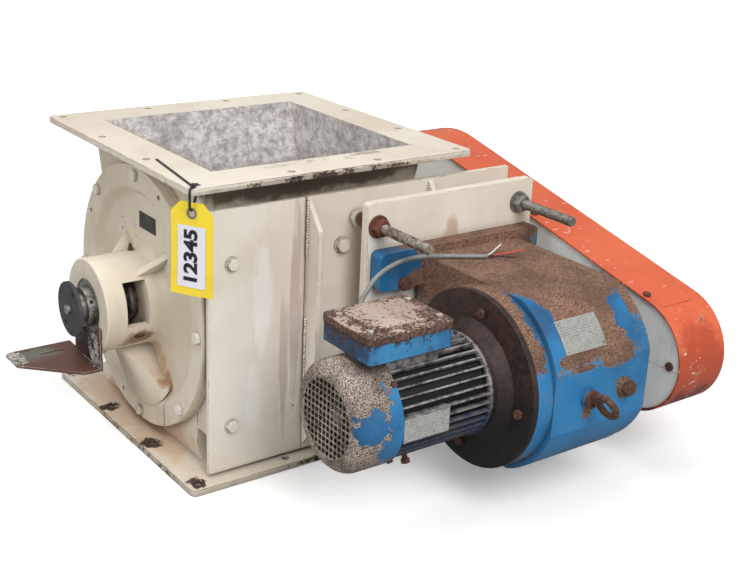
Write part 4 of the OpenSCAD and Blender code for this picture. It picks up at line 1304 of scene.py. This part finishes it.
BRACKET_PAINT = WornPaint(
    "rusty_sensor_bracket", rgb(98, 64, 50), rgb(74, 48, 40), rgb(222, 216, 206),
    rgb(128, 124, 116), bias=-0.5, spread=2.3, flake=46.0, edge_wear=0.7, streaks=0.5,
    dirt=rgb(44, 34, 32), soot_and_shade=rgb(30, 24, 24), fleck=1.2, halo=1.0,
    patches=(Patch((-0.392, 0.050, 0.140), (0.02, 0.04, 0.012), 0.6),
             Patch((-0.299, -0.03, 0.165), (0.012, 0.04, 0.05), 0.5)),
    colour_films=(ColourFilm((-0.299, 0.0, 0.175), (0.008, 0.06, 0.04), rgb(34, 32, 34), 0.9),
            ColourFilm((-0.37, 0.05, 0.140), (0.05, 0.03, 0.006), rgb(96, 102, 92), 0.8)))

STEEL = Metal("bright_steel", rgb(190, 188, 182), rgb(128, 124, 118), rust_share=0.16)
PAINTED_SCREW = Metal("painted_screws", rgb(214, 206, 192), rgb(150, 140, 128),
                      rust_share=0.12, metallic=0.1, rough=0.5)
SHAFT = Metal("turned_shaft", rgb(184, 182, 176), rgb(130, 124, 116), rust_share=0.22,
              grain=220.0, stretch=(8.0, 1.0, 1.0))
IRON = Metal("bare_iron", rgb(150, 146, 142), rgb(92, 86, 82), rust_share=0.3, rough=0.5)
RUSTY = Metal("rusty_steel", rgb(112, 90, 78), rgb(62, 46, 38), rust_share=0.9,
              rust=rgb(102, 70, 54), metallic=0.4, rough=0.6)
RED_RUST = Metal("rusty_stud", rgb(172, 164, 154), rgb(104, 84, 74), rust_share=0.46,
                 rust=rgb(112, 74, 60), metallic=0.4, rough=0.55)
GREY_STUD = Metal("grey_zinc_stud", rgb(160, 158, 150), rgb(110, 108, 102), rust_share=0.18,
                  metallic=0.6, rough=0.5)
NUTS = Metal("take_up_nuts", rgb(160, 158, 150), rgb(110, 108, 102), rust_share=0.18,
             metallic=0.6, rough=0.5, rust=rgb(118, 66, 50),
             patches=(Patch((0.046, -0.28, 0.383), (0.05, 0.08, 0.04), 1.3),))
CHAIN = Metal("oiled_chain", rgb(84, 78, 72), rgb(40, 36, 34), rust_share=0.35, rough=0.38)
COPPER = Metal("copper_windings", rgb(186, 110, 70), rgb(120, 66, 44), rust_share=0.05,
               rust=rgb(70, 44, 34), metallic=0.8, rough=0.4)
GRILLE = Metal("grille_wire", rgb(176, 166, 150), rgb(120, 108, 96), rust_share=0.3,
               rust=rgb(108, 84, 66), metallic=0.3, rough=0.55, corner_shade=0.3)
SILVER_PLATE = Plate("scratched_nameplate", rgb(206, 208, 206))
GEAR_PLATE = Plate("scratched_gear_nameplate", rgb(206, 206, 200), up=(0.0, 0.63, 0.78))
DARK_PLATE = Plate("dark_nameplate", rgb(50, 48, 52), rgb(74, 72, 74), rgb(150, 146, 142), 0.3)
CHARCOAL = Moulding("charcoal_disc", rgb(52, 54, 58), rgb(108, 104, 100), 0.55)
BLACK = Moulding("black_nylon", rgb(26, 26, 28), rgb(80, 78, 76), 0.45, 0.25)
FAN_GREY = Moulding("grey_fan", rgb(70, 70, 72), rgb(120, 106, 92), 0.6, 0.6)
PACKING = Moulding("packing_cord", rgb(92, 84, 70), rgb(54, 46, 38), 0.8, 0.5, 500.0)
SHEATH = Moulding("grey_sheath", rgb(126, 129, 126), rgb(104, 98, 90), 0.5, 0.5, 160.0)
TAG_YELLOW = Card("yellow_tag", rgb(238, 212, 52), rgb(222, 190, 48))
FIBRE = Card("fibre_eyelet", rgb(134, 124, 108), rgb(84, 76, 68))
TAG_LABEL = Card("pale_label", rgb(222, 222, 232), rgb(206, 204, 214), 0.35)
TAG_INK = Card("black_ink", rgb(20, 20, 22), rgb(32, 32, 34), 0.4)

_made: dict[str, bpy.types.Material] = {}


def material(finish: object) -> bpy.types.Material:
    """The Blender material of a finish, made once.

    Args:
        finish: One of the finishes above.

    Returns:
        Its material.
    """
    if finish.name not in _made:
        _made[finish.name] = finish.build()
    return _made[finish.name]


def dress(finishes: dict[str, object]) -> None:
    """Gives CAD nodes their finishes.

    Args:
        finishes: A finish for each node's name.
    """
    for node, finish in finishes.items():
        for slot in frame["nodes"][node].material_slots:
            slot.material = material(finish)
        log.info("%s is dressed in %s", node, finish.name)


# ======================================================================================
# Sub-assemblies
# ======================================================================================


@dataclass
class MotorCable:
    """The loose motor lead: grey sheath, with three cores splayed at its bare far end."""

    route: tuple[Point, ...] = (
        (-0.050, -0.387, 0.303), (-0.050, -0.380, 0.303), (-0.048, -0.372, 0.3055),
        (-0.043, -0.365, 0.3095), (-0.036, -0.360, 0.315), (-0.027, -0.357, 0.3215),
        (-0.017, -0.354, 0.3305), (-0.002, -0.351, 0.3395), (0.018, -0.347, 0.3455),
        (0.039, -0.343, 0.3485), (0.061, -0.339, 0.3485), (0.084, -0.334, 0.346),
        (0.106, -0.329, 0.342), (0.127, -0.328, 0.3382), (0.143, -0.335, 0.338),
        (0.160, -0.346, 0.338), (0.177, -0.355, 0.338), (0.191, -0.362, 0.338))
    diameter: float = 0.007
    core_radius: float = 0.0012
    tip: float = 0.009
    copper_share: float = 0.6
    cores: tuple[tuple[str, Colour, tuple[Point, ...]], ...] = (
        ("white", rgb(222, 216, 204), ((0.193, -0.3608, 0.339), (0.204, -0.358, 0.341),
                                       (0.217, -0.352, 0.343), (0.234, -0.344, 0.345))),
        ("red", rgb(196, 74, 62), ((0.193, -0.3623, 0.3366), (0.208, -0.365, 0.3385),
                                   (0.230, -0.370, 0.340), (0.252, -0.375, 0.342))),
        ("black", rgb(36, 34, 34), ((0.193, -0.3638, 0.339), (0.202, -0.373, 0.340),
                                    (0.211, -0.386, 0.341), (0.220, -0.397, 0.342))))

    def build(self) -> None:
        line = smooth_route(self.route)
        sheath = add_object("cable_sheath", tube("cable_sheath", line, self.diameter / 2),
                            material(SHEATH))
        settle(sheath, Body.DRIVE, "cable_sheath", "motor_cable")
        ends = [self.core(*core) for core in self.cores]
        round(route_length(line), 4)

    def core(self, word: str, colour: Colour, points: tuple[Point, ...]
             ) -> tuple[bpy.types.Object, bpy.types.Object]:
        """Makes one core and its stripped copper end.

        Args:
            word: The core's colour in words.
            colour: Its colour.
            points: Points that it follows.

        Returns:
            The insulated core and its copper end.
        """
        line = smooth_route(points, 10)
        name = f"core_{word}"
        finish = Moulding(name, colour, tuple(c * 0.7 for c in colour), 0.45)
        core = add_object(name, tube(name, line[:-1], self.core_radius), material(finish))
        settle(core, Body.DRIVE, "core_plastic", "cable_cores")
        away = (line[-1] - line[-4]).normalized()
        turn = away.to_track_quat("Z", "Y").to_matrix().to_4x4()
        strand = Shape()
        radius = self.core_radius * self.copper_share
        strand.lathe([(0, 0), (radius, 0), (radius * 1.1, self.tip * 0.5),
                      (radius, self.tip * 0.9), (radius * 0.4, self.tip), (0, self.tip)],
                     Matrix.Translation(line[-1] - away * self.tip) @ turn, 12)
        end = add_object(f"core_end_{word}", strand.mesh(f"core_end_{word}"), material(COPPER))
        settle(end, Body.DRIVE, "copper_pack", "cable_cores")
        return core, end


@dataclass
class HangingTag:
    """The lot tag: a creased yellow card with a pale label and plain digits, on a nylon tie."""

    width: float = 0.067
    height: float = 0.133
    shoulder: float = 0.015
    hole_radius: float = 0.0052
    hole_drop: float = 0.005
    thickness: float = 0.0007
    corner: float = 0.24447
    hang: float = 0.0288
    digits: str = "12345"
    cells: tuple[int, int] = (28, 54)
    top: float = 0.01
    face_middle: float = -0.067
    label_share: float = 0.66
    label_height: float = 0.088
    label_thickness: float = 0.00012
    ink_lift: float = 0.0006
    digit_height: float = 0.0285
    digit_stroke: float = 0.0011
    digit_depth: float = 0.00006
    digit_stretch: float = 1.12
    ring_radius: float = 0.0080
    ring_height: float = 0.0010
    ring_bite: float = 0.0002

    def placed(self) -> Matrix:
        """The tag's frame: X across it, Y up and Z out of its printed face."""
        across = Vector((0.5, -0.8660254, 0.0))
        out = Vector((-0.8660254, -0.5, 0.0))
        turn = Matrix((across, Vector(UP), out)).transposed().to_4x4()
        return Matrix.Translation((-self.corner, -self.corner, BODY_H - self.hang)) @ turn

    def bend(self, x: float, y: float) -> float:
        """How far the card bulges out at a point of its face, in metres."""
        fall = (self.top - y) / self.height
        return 0.0016 * math.sin(x * 44.0 + fall * 2.2) * fall + 0.0022 * fall * fall - 0.0004

    def card(self) -> bpy.types.Mesh:
        """Makes the card with cut shoulders, an eyelet hole and a slight bend.

        Returns:
            Its mesh.
        """
        bm = bmesh.new()
        columns, rows = self.cells
        grid = []
        for j in range(rows + 1):
            y = self.top - self.height * j / rows
            inset = self.shoulder * min(1.0, max(0.0, (y + self.hole_drop) / self.shoulder))
            half = self.width / 2 - inset
            grid.append([bm.verts.new((half * (2 * i / columns - 1), y, 0.0))
                         for i in range(columns + 1)])
        centre = Vector((0.0, -self.hole_drop, 0.0))
        for low, high in zip(grid[1:], grid):
            for i in range(columns):
                quad = (low[i], low[i + 1], high[i + 1], high[i])
                middle = sum((v.co for v in quad), Vector()) / 4
                if (middle - centre).length > self.hole_radius:
                    bm.faces.new(quad)
        for vert in [v for v in bm.verts if not v.link_faces]:
            bm.verts.remove(vert)
        for vert in bm.verts:
            reach = vert.co - centre
            if vert.is_boundary and reach.length < self.hole_radius * 1.6:
                vert.co = centre + reach.normalized() * self.hole_radius
        for vert in bm.verts:
            vert.co.z = self.bend(vert.co.x, vert.co.y)
        whole = bm.verts[:] + bm.edges[:] + bm.faces[:]
        bmesh.ops.transform(bm, matrix=self.placed(), verts=bm.verts)
        bmesh.ops.solidify(bm, geom=whole, thickness=self.thickness)
        return closed_mesh(bm, "tag_card")

    def film(self, name: str, outline: bpy.types.Mesh, lift: float, finish: object) -> None:
        """Lays a thin printed layer on the card, following its bend.

        Args:
            name: The piece's name.
            outline: A flat mesh in the tag's own frame.
            lift: Height over the card's face.
            finish: Its finish.
        """
        place = self.placed()
        for vert in outline.vertices:
            x, y = vert.co.x, vert.co.y
            vert.co = place @ Vector((x, y, self.bend(x, y) + self.thickness + lift + vert.co.z))
        settle(add_object(name, outline, material(finish)), Body.TAG, "tag_card", "lot_tag")

    def label(self) -> bpy.types.Mesh:
        """Makes the label as a fine flat grid with a rim that meets the card."""
        bm = bmesh.new()
        bmesh.ops.create_grid(bm, x_segments=12, y_segments=30, size=0.5)
        for vert in bm.verts:
            vert.co = Vector((vert.co.x * self.width * self.label_share,
                              vert.co.y * self.label_height + self.face_middle, 0.0))
        made = bmesh.ops.extrude_face_region(bm, geom=bm.faces[:])
        for vert in (v for v in made["geom"] if isinstance(v, bmesh.types.BMVert)):
            vert.co.z += self.label_thickness
        return closed_mesh(bm, "tag_label")

    def eyelet(self) -> bpy.types.Mesh:
        """Makes the fibre ring round the hole."""
        lift = self.bend(0.0, -self.hole_drop)
        inner, low, high = self.hole_radius - self.ring_bite, lift - self.ring_bite, (
            lift + self.ring_height)
        ring = Shape()
        ring.lathe([(inner, low), (self.ring_radius, low), (self.ring_radius, high),
                    (inner, high), (inner, low)],
                   self.placed() @ Matrix.Translation((0.0, -self.hole_drop, 0.0)), 32)
        return ring.mesh("tag_eyelet", False)

    def figures(self) -> bpy.types.Mesh:
        """Makes the digits, read upwards along the tag."""
        text = bpy.data.curves.new("tag_digits", "FONT")
        text.body = self.digits
        text.size = self.digit_height
        text.offset = self.digit_stroke
        text.extrude = self.digit_depth
        text.align_x = "CENTER"
        text.align_y = "CENTER"
        host = bpy.data.objects.new("tag_digits_host", text)
        bpy.context.scene.collection.objects.link(host)
        data = plain_mesh(host)
        data.transform(Matrix.Translation((0.0, self.face_middle, 0.0))
                       @ Matrix.Rotation(QUARTER, 4, "Z")
                       @ Matrix.Scale(self.digit_stretch, 4, (1, 0, 0)))
        return data

    def build(self) -> None:
        """Makes the card, its eyelet, its label and its digits."""
        for name, data, finish in (("tag_card", self.card(), TAG_YELLOW),
                                   ("tag_eyelet", self.eyelet(), FIBRE)):
            settle(add_object(name, data, material(finish)), Body.TAG, "tag_card", "lot_tag")
        self.film("tag_label", self.label(), 0.00001, TAG_LABEL)
        self.film("tag_digits", self.figures(), self.ink_lift, TAG_INK)

    def dress(self) -> None:
        """Finishes the tie."""
        dress({"tag_tie": BLACK})


@dataclass
class ValveBody:
    """The cast housing with its side panel, motor bracket and their welds and bolts."""

    bead: float = 0.0052
    step: float = 0.0040
    seams: tuple[tuple[str, Point, Point], ...] = (
        ("panel_seam_low", (-0.0440, -0.2265, 0.070), (-0.0440, -0.2265, 0.235)),
        ("panel_seam_top", (-0.0440, -0.2265, 0.330), (-0.0440, -0.2265, 0.424)),
        ("gusset_seam", (0.1830, -0.2215, 0.030), (0.1830, -0.2215, 0.420)))

    def build(self) -> None:
        """Lays the weld beads."""
        tree = weld_tree()
        for seed, (name, start, end) in enumerate(self.seams):
            bead = tree.make(f"weld_{name}", {
                "From": start, "To": end, "Width": self.bead, "Step": self.step, "Seed": seed,
                "Finish": material(BOLT_PAINT)})
            settle(bead, Body.VALVE, "cream_paint")

    def dress(self) -> None:
        """Finishes the housing, panel and bracket."""
        dress({"housing": HOUSING, "side_panel": CREAM, "motor_bracket": CREAM,
               "side_panel_bolts": BOLT_PAINT, "bracket_bolts": BOLT_PAINT})


@dataclass
class EndCovers:
    """Both end covers with bearings, packing, glands and the sensor bracket."""

    plate_centre: Point = (-0.2270, -0.0085, 0.3490)
    plate_size: tuple[float, float] = (0.047, 0.018)
    plate_head: float = 0.0016
    foot_half: float = 30.4
    root_half: float = 8.0
    hub_inner: float = 0.070
    foot_radius: float = 0.1785
    root_x: float = 0.2550
    foot_x: float = 0.2130
    web_x: float = 0.1945
    corner_rise: float = 0.0245
    corner_sink: float = 0.0178
    corner_power: int = 4
    steps: int = 16
    sharp: float = 35.0

    def fairing(self, name: str, side: int) -> bpy.types.Mesh:
        """Casts the flared foot that blends the rib under a hub into its cover.

        Args:
            name: Name of the mesh.
            side: -1 for the free end and 1 for the chain end.

        Returns:
            The closed mesh.
        """
        bm = bmesh.new()
        across = [2 * k / self.steps - 1 for k in range(self.steps + 1)]
        rings = []
        for step in range(self.steps + 1):
            t = step / self.steps
            half = math.radians(self.root_half + (self.foot_half - self.root_half) * t)
            ring = []
            for u in across:
                near_corner = u ** self.corner_power
                foot = self.foot_radius - self.corner_rise * near_corner
                low_x = self.foot_x - self.corner_sink * near_corner
                radius = self.hub_inner + (foot - self.hub_inner) * t
                x = self.root_x + (low_x - self.root_x) * t
                ring.append((side * x, radius * math.sin(u * half),
                             AXIS_Z - radius * math.cos(u * half)))
            ring += [(side * self.web_x, y, z) for _, y, z in reversed(ring)]
            rings.append([bm.verts.new(corner) for corner in ring])
        for low, high in zip(rings, rings[1:]):
            for k, corner in enumerate(low):
                after = (k + 1) % len(low)
                bm.faces.new((corner, low[after], high[after], high[k]))
        bm.faces.new(rings[0])
        bm.faces.new(list(reversed(rings[-1])))
        data = closed_mesh(bm, name)
        data.shade_smooth()
        data.set_sharp_from_angle(angle=math.radians(self.sharp))
        return data

    def build(self) -> None:
        """Adds the cast feet and rivets the small plate to the free end's cover."""
        for name, side in (("rib_foot_nde", -1), ("rib_foot_de", 1)):
            foot = add_object(name, self.fairing(name, side), material(COVER))
            settle(foot, Body.VALVE, "cream_paint")
        rivet_plate("cover_plate_rivets", Body.VALVE, self.plate_centre,
                    (QUARTER, 0.0, -QUARTER), self.plate_size, self.plate_head)

    def dress(self) -> None:
        """Finishes the covers and what they carry."""
        dress({"end_cover_nde": COVER, "end_cover_de": COVER, "cover_bolts_nde": BOLT_PAINT,
               "cover_bolts_de": BOLT_PAINT, "bearing_outers": STEEL, "bearing_inners": STEEL,
               "shaft_packing": PACKING, "packing_glands": IRON, "grease_nipples": RUSTY,
               "cover_nameplate": DARK_PLATE, "sensor_bracket": BRACKET_PAINT,
               "sensor_bracket_bolts": STEEL})


@dataclass
class Rotor:
    """The eight-vane rotor with its shaft, bolted wear strips and speed disc."""

    vanes: int = 8
    bolts: int = 6
    pitch: float = 0.060
    radius: float = 0.150
    side: float = 0.0145
    size: float = 0.0055

    def build(self) -> None:
        """Bolts the wear strips to the vanes."""
        heads = tip_bolt_tree().make("vane_strip_bolts", {
            "Vanes": self.vanes, "Count": self.bolts, "Pitch": self.pitch,
            "Radius": self.radius, "Side": self.side, "Size": self.size,
            "First": -self.pitch * (self.bolts - 1) / 2, "Centre": (0.0, 0.0, AXIS_Z),
            "Finish": material(STEEL)})
        settle(heads, Body.ROTOR, "rotor_steel")

    def dress(self) -> None:
        """Finishes the shaft, vanes and disc."""
        dress({"rotor_shaft": SHAFT, "rotor_key": STEEL, "rotor_vanes": IRON,
               "rotor_tips": STEEL, "speed_disc": CHARCOAL, "disc_screw": STEEL})


@dataclass
class TakeUp:
    """The sliding motor plate on four threaded studs, which tensions the chain."""

    root_y: float = -0.213
    stud: float = 0.189
    short_stud: float = 0.144
    crest: float = 0.0079
    core: float = 0.0068
    pitch: float = 0.0023
    columns: tuple[float, float] = (0.046, 0.3245)
    rows: tuple[float, float] = (0.3830, 0.1500)

    def build(self) -> None:
        """Cuts the threads of the four studs."""
        tree = thread_tree()
        for side, x in zip(("left", "right"), self.columns):
            finish = RED_RUST if side == "left" else GREY_STUD
            for level, z in zip(("top", "low"), self.rows):
                length = self.stud if level == "top" else self.short_stud
                stud = tree.make(f"stud_{side}_{level}", {
                    "Start": (x, self.root_y, z), "Length": length, "Core": self.core,
                    "Crest": self.crest, "Pitch": self.pitch, "Finish": material(finish)})
                settle(stud, Body.VALVE, "bright_steel", "takeup_studs")

    def dress(self) -> None:
        """Finishes the nuts and the plate."""
        dress({"takeup_nuts": NUTS, "motor_plate": CREAM})


@dataclass
class GearUnit:
    """The gear case with its cover, adapter ring, feet, plugs and output shaft."""

    plate_x: float = 0.181
    plate_radius: float = 0.1421
    plate_turn: float = 51.0
    plate_size: tuple[float, float] = (0.069, 0.040)
    plate_head: float = 0.0022

    def build(self) -> None:
        """Rivets the nameplate to the round of the case."""
        turn = math.radians(self.plate_turn)
        radius = self.plate_radius
        sag = math.sqrt(radius ** 2 - (self.plate_size[1] / 2) ** 2) - radius
        centre = (self.plate_x, GEAR_Y - radius * math.sin(turn),
                  GEAR_Z + radius * math.cos(turn))
        rivet_plate("gear_plate_rivets", Body.DRIVE, centre, (turn, 0.0, 0.0), self.plate_size,
                    self.plate_head, sag)

    def dress(self) -> None:
        """Finishes the gear unit."""
        dress({"gear_case": GEAR_BLUE, "gear_cover": GEAR_SIDE, "gear_bolts": RUSTY,
               "gear_plugs": RUSTY, "gear_eyebolt": RUSTY, "gear_nameplate": GEAR_PLATE,
               "gear_shaft": SHAFT, "gear_key": STEEL, "adapter_flange": ADAPTER,
               "adapter_bolts": RUSTY})


@dataclass
class Motor:
    """The finned motor with its fan, cowl and terminal box."""

    plate_centre: Point = (-0.058, -0.54441, 0.1985)
    plate_size: tuple[float, float] = (0.070, 0.027)
    plate_head: float = 0.0017

    def build(self) -> None:
        """Rivets the nameplate to the casing."""
        rivet_plate("motor_plate_rivets", Body.DRIVE, self.plate_centre, (QUARTER, 0.0, 0.0),
                    self.plate_size, self.plate_head)

    def dress(self) -> None:
        """Finishes the motor."""
        dress({"motor_frame": FinnedPaint("finned_casing"), "motor_stator": COPPER,
               "motor_rotor": STEEL, "cooling_fan": FAN_GREY, "fan_cowl": COWL,
               "cowl_grille": GRILLE, "cowl_screws": RUSTY, "motor_nameplate": SILVER_PLATE,
               "terminal_box": BOX_BLUE, "terminal_cover": BOX_LID,
               "terminal_screws": PAINTED_SCREW, "cable_gland": BLACK})


@dataclass
class ChainDrive:
    """Sprockets, roller chain and the orange guard with its back plate and struts."""

    def dress(self) -> None:
        """Finishes the drive and its guard."""
        dress({"rotor_sprocket": STEEL, "gear_sprocket": STEEL, "drive_chain": CHAIN,
               "chain_guard": ORANGE, "guard_back": GUARD_BACK, "guard_door": GUARD_BACK,
               "guard_screws": RUSTY, "guard_struts": CREAM})


@dataclass
class Studio:
    """Pale floor, soft lamps and the camera."""

    camera_at: Point = (-0.9917, -1.6579, 0.9296)
    azimuth: float = -36.89
    elevation: float = 20.12
    roll: float = 2.68
    lens: float = 58.82
    floor_z: float = -0.0006
    floor_half: float = 14.0
    floor_bounce: Colour = (0.36, 0.35, 0.34)
    floor_white: Colour = (0.94, 0.94, 0.94)
    floor_fade: tuple[float, float, float, float] = (0.7, 2.6, 0.2, 1.0)
    sky: float = 0.52
    lamps: tuple[tuple[str, Point, Point, float, float], ...] = (
        ("key", (-0.5, -3.0, 2.6), (0.0, -0.2, 0.2), 2.2, 98.0),
        ("top", (-0.6, 0.3, 3.4), (0.05, -0.15, 0.2), 2.6, 46.0),
        ("left", (-3.2, -0.9, 1.7), (0.0, -0.1, 0.2), 1.8, 32.0))

    def camera(self) -> None:
        """Sets the camera."""
        data = bpy.data.cameras.new("camera")
        data.lens = self.lens
        data.sensor_width = 36.0
        data.clip_start, data.clip_end = 0.05, 60.0
        made = bpy.data.objects.new("camera", data)
        bpy.context.scene.collection.objects.link(made)
        az, el, roll = (math.radians(v) for v in (self.azimuth, self.elevation, self.roll))
        back = Vector((math.sin(az) * math.cos(el), -math.cos(az) * math.cos(el), math.sin(el)))
        right = (-back).cross(Vector(UP)).normalized()
        up = back.cross(right)
        across = right * math.cos(roll) + up * math.sin(roll)
        upright = up * math.cos(roll) - right * math.sin(roll)
        turn = Matrix((across, upright, back)).transposed().to_4x4()
        made.matrix_world = Matrix.Translation(self.camera_at) @ turn
        bpy.context.scene.camera = made

    def lights(self) -> None:
        """Sets the lamps and the sky."""
        for name, at, target, size, power in self.lamps:
            data = bpy.data.lights.new(name, "AREA")
            data.shape = "DISK"
            data.size = size
            data.energy = power
            made = bpy.data.objects.new(name, data)
            bpy.context.scene.collection.objects.link(made)
            made.location = at
            aim = Vector(target) - Vector(at)
            made.rotation_euler = aim.to_track_quat("-Z", "Y").to_euler()
        world = bpy.data.worlds.new("sky")
        bpy.context.scene.world = world
        world.use_nodes = True
        tree = world.node_tree
        tree.nodes.clear()
        rays = add_node(tree, "ShaderNodeLightPath").outputs
        seen = add_node(tree, "ShaderNodeMath", {
            0: rays["Is Camera Ray"], 1: rays["Is Transmission Ray"]}, operation="MAXIMUM")
        level = add_node(tree, "ShaderNodeMapRange", {
            "Value": seen, "To Min": self.sky, "To Max": 1.0})
        shade = add_node(tree, "ShaderNodeBackground", {"Strength": level})
        add_node(tree, "ShaderNodeOutputWorld", {"Surface": shade})

    def floor(self) -> None:
        """Lays the floor: white to the camera apart from the shadow, and duller as a light."""
        data = bpy.data.meshes.new("floor")
        half = self.floor_half
        data.from_pydata([(x * half, y * half, self.floor_z) for x, y in
                          ((-1, -1), (1, -1), (1, 1), (-1, 1))], [], [(0, 1, 2, 3)])
        finish = bpy.data.materials.new("floor")
        finish.use_nodes = True
        tree = finish.node_tree
        tree.nodes.clear()
        camera_ray = add_node(tree, "ShaderNodeLightPath").outputs["Is Camera Ray"]
        tone = add_node(tree, "ShaderNodeMix", {
            0: camera_ray, 6: (*self.floor_bounce, 1.0), 7: (*self.floor_white, 1.0)},
            data_type="RGBA")
        diffuse = add_node(tree, "ShaderNodeBsdfDiffuse", {"Color": tone.outputs[2]})
        place = add_node(tree, "ShaderNodeTexCoord")
        reach = add_node(tree, "ShaderNodeVectorMath", {0: place.outputs["Object"]},
                         operation="LENGTH")
        fade = add_node(tree, "ShaderNodeMapRange", {
            0: reach.outputs["Value"], **dict(enumerate(self.floor_fade, 1))},
            interpolation_type="SMOOTHSTEP")
        gain = add_node(tree, "ShaderNodeMath", {0: camera_ray, 1: fade}, operation="MULTIPLY")
        glow = add_node(tree, "ShaderNodeEmission", {"Strength": gain})
        both = add_node(tree, "ShaderNodeAddShader", {0: diffuse, 1: glow})
        add_node(tree, "ShaderNodeOutputMaterial", {"Surface": both})
        add_object("floor", data, finish)

    def build(self) -> None:
        """Sets the stage."""
        bpy.context.scene.view_settings.view_transform = "Standard"
        self.camera()
        self.lights()
        self.floor()


def main() -> None:
    """Builds and dresses every sub-assembly in order."""
    logging.basicConfig(level=logging.INFO, format="%(message)s")
    Studio().build()
    MotorCable().build()
    for part in (ValveBody(), EndCovers(), Rotor(), TakeUp(), GearUnit(), Motor()):
        part.build()
        part.dress()
    ChainDrive().dress()
    tag = HangingTag()
    tag.build()
    tag.dress()


if __name__ == "__main__":
    main()
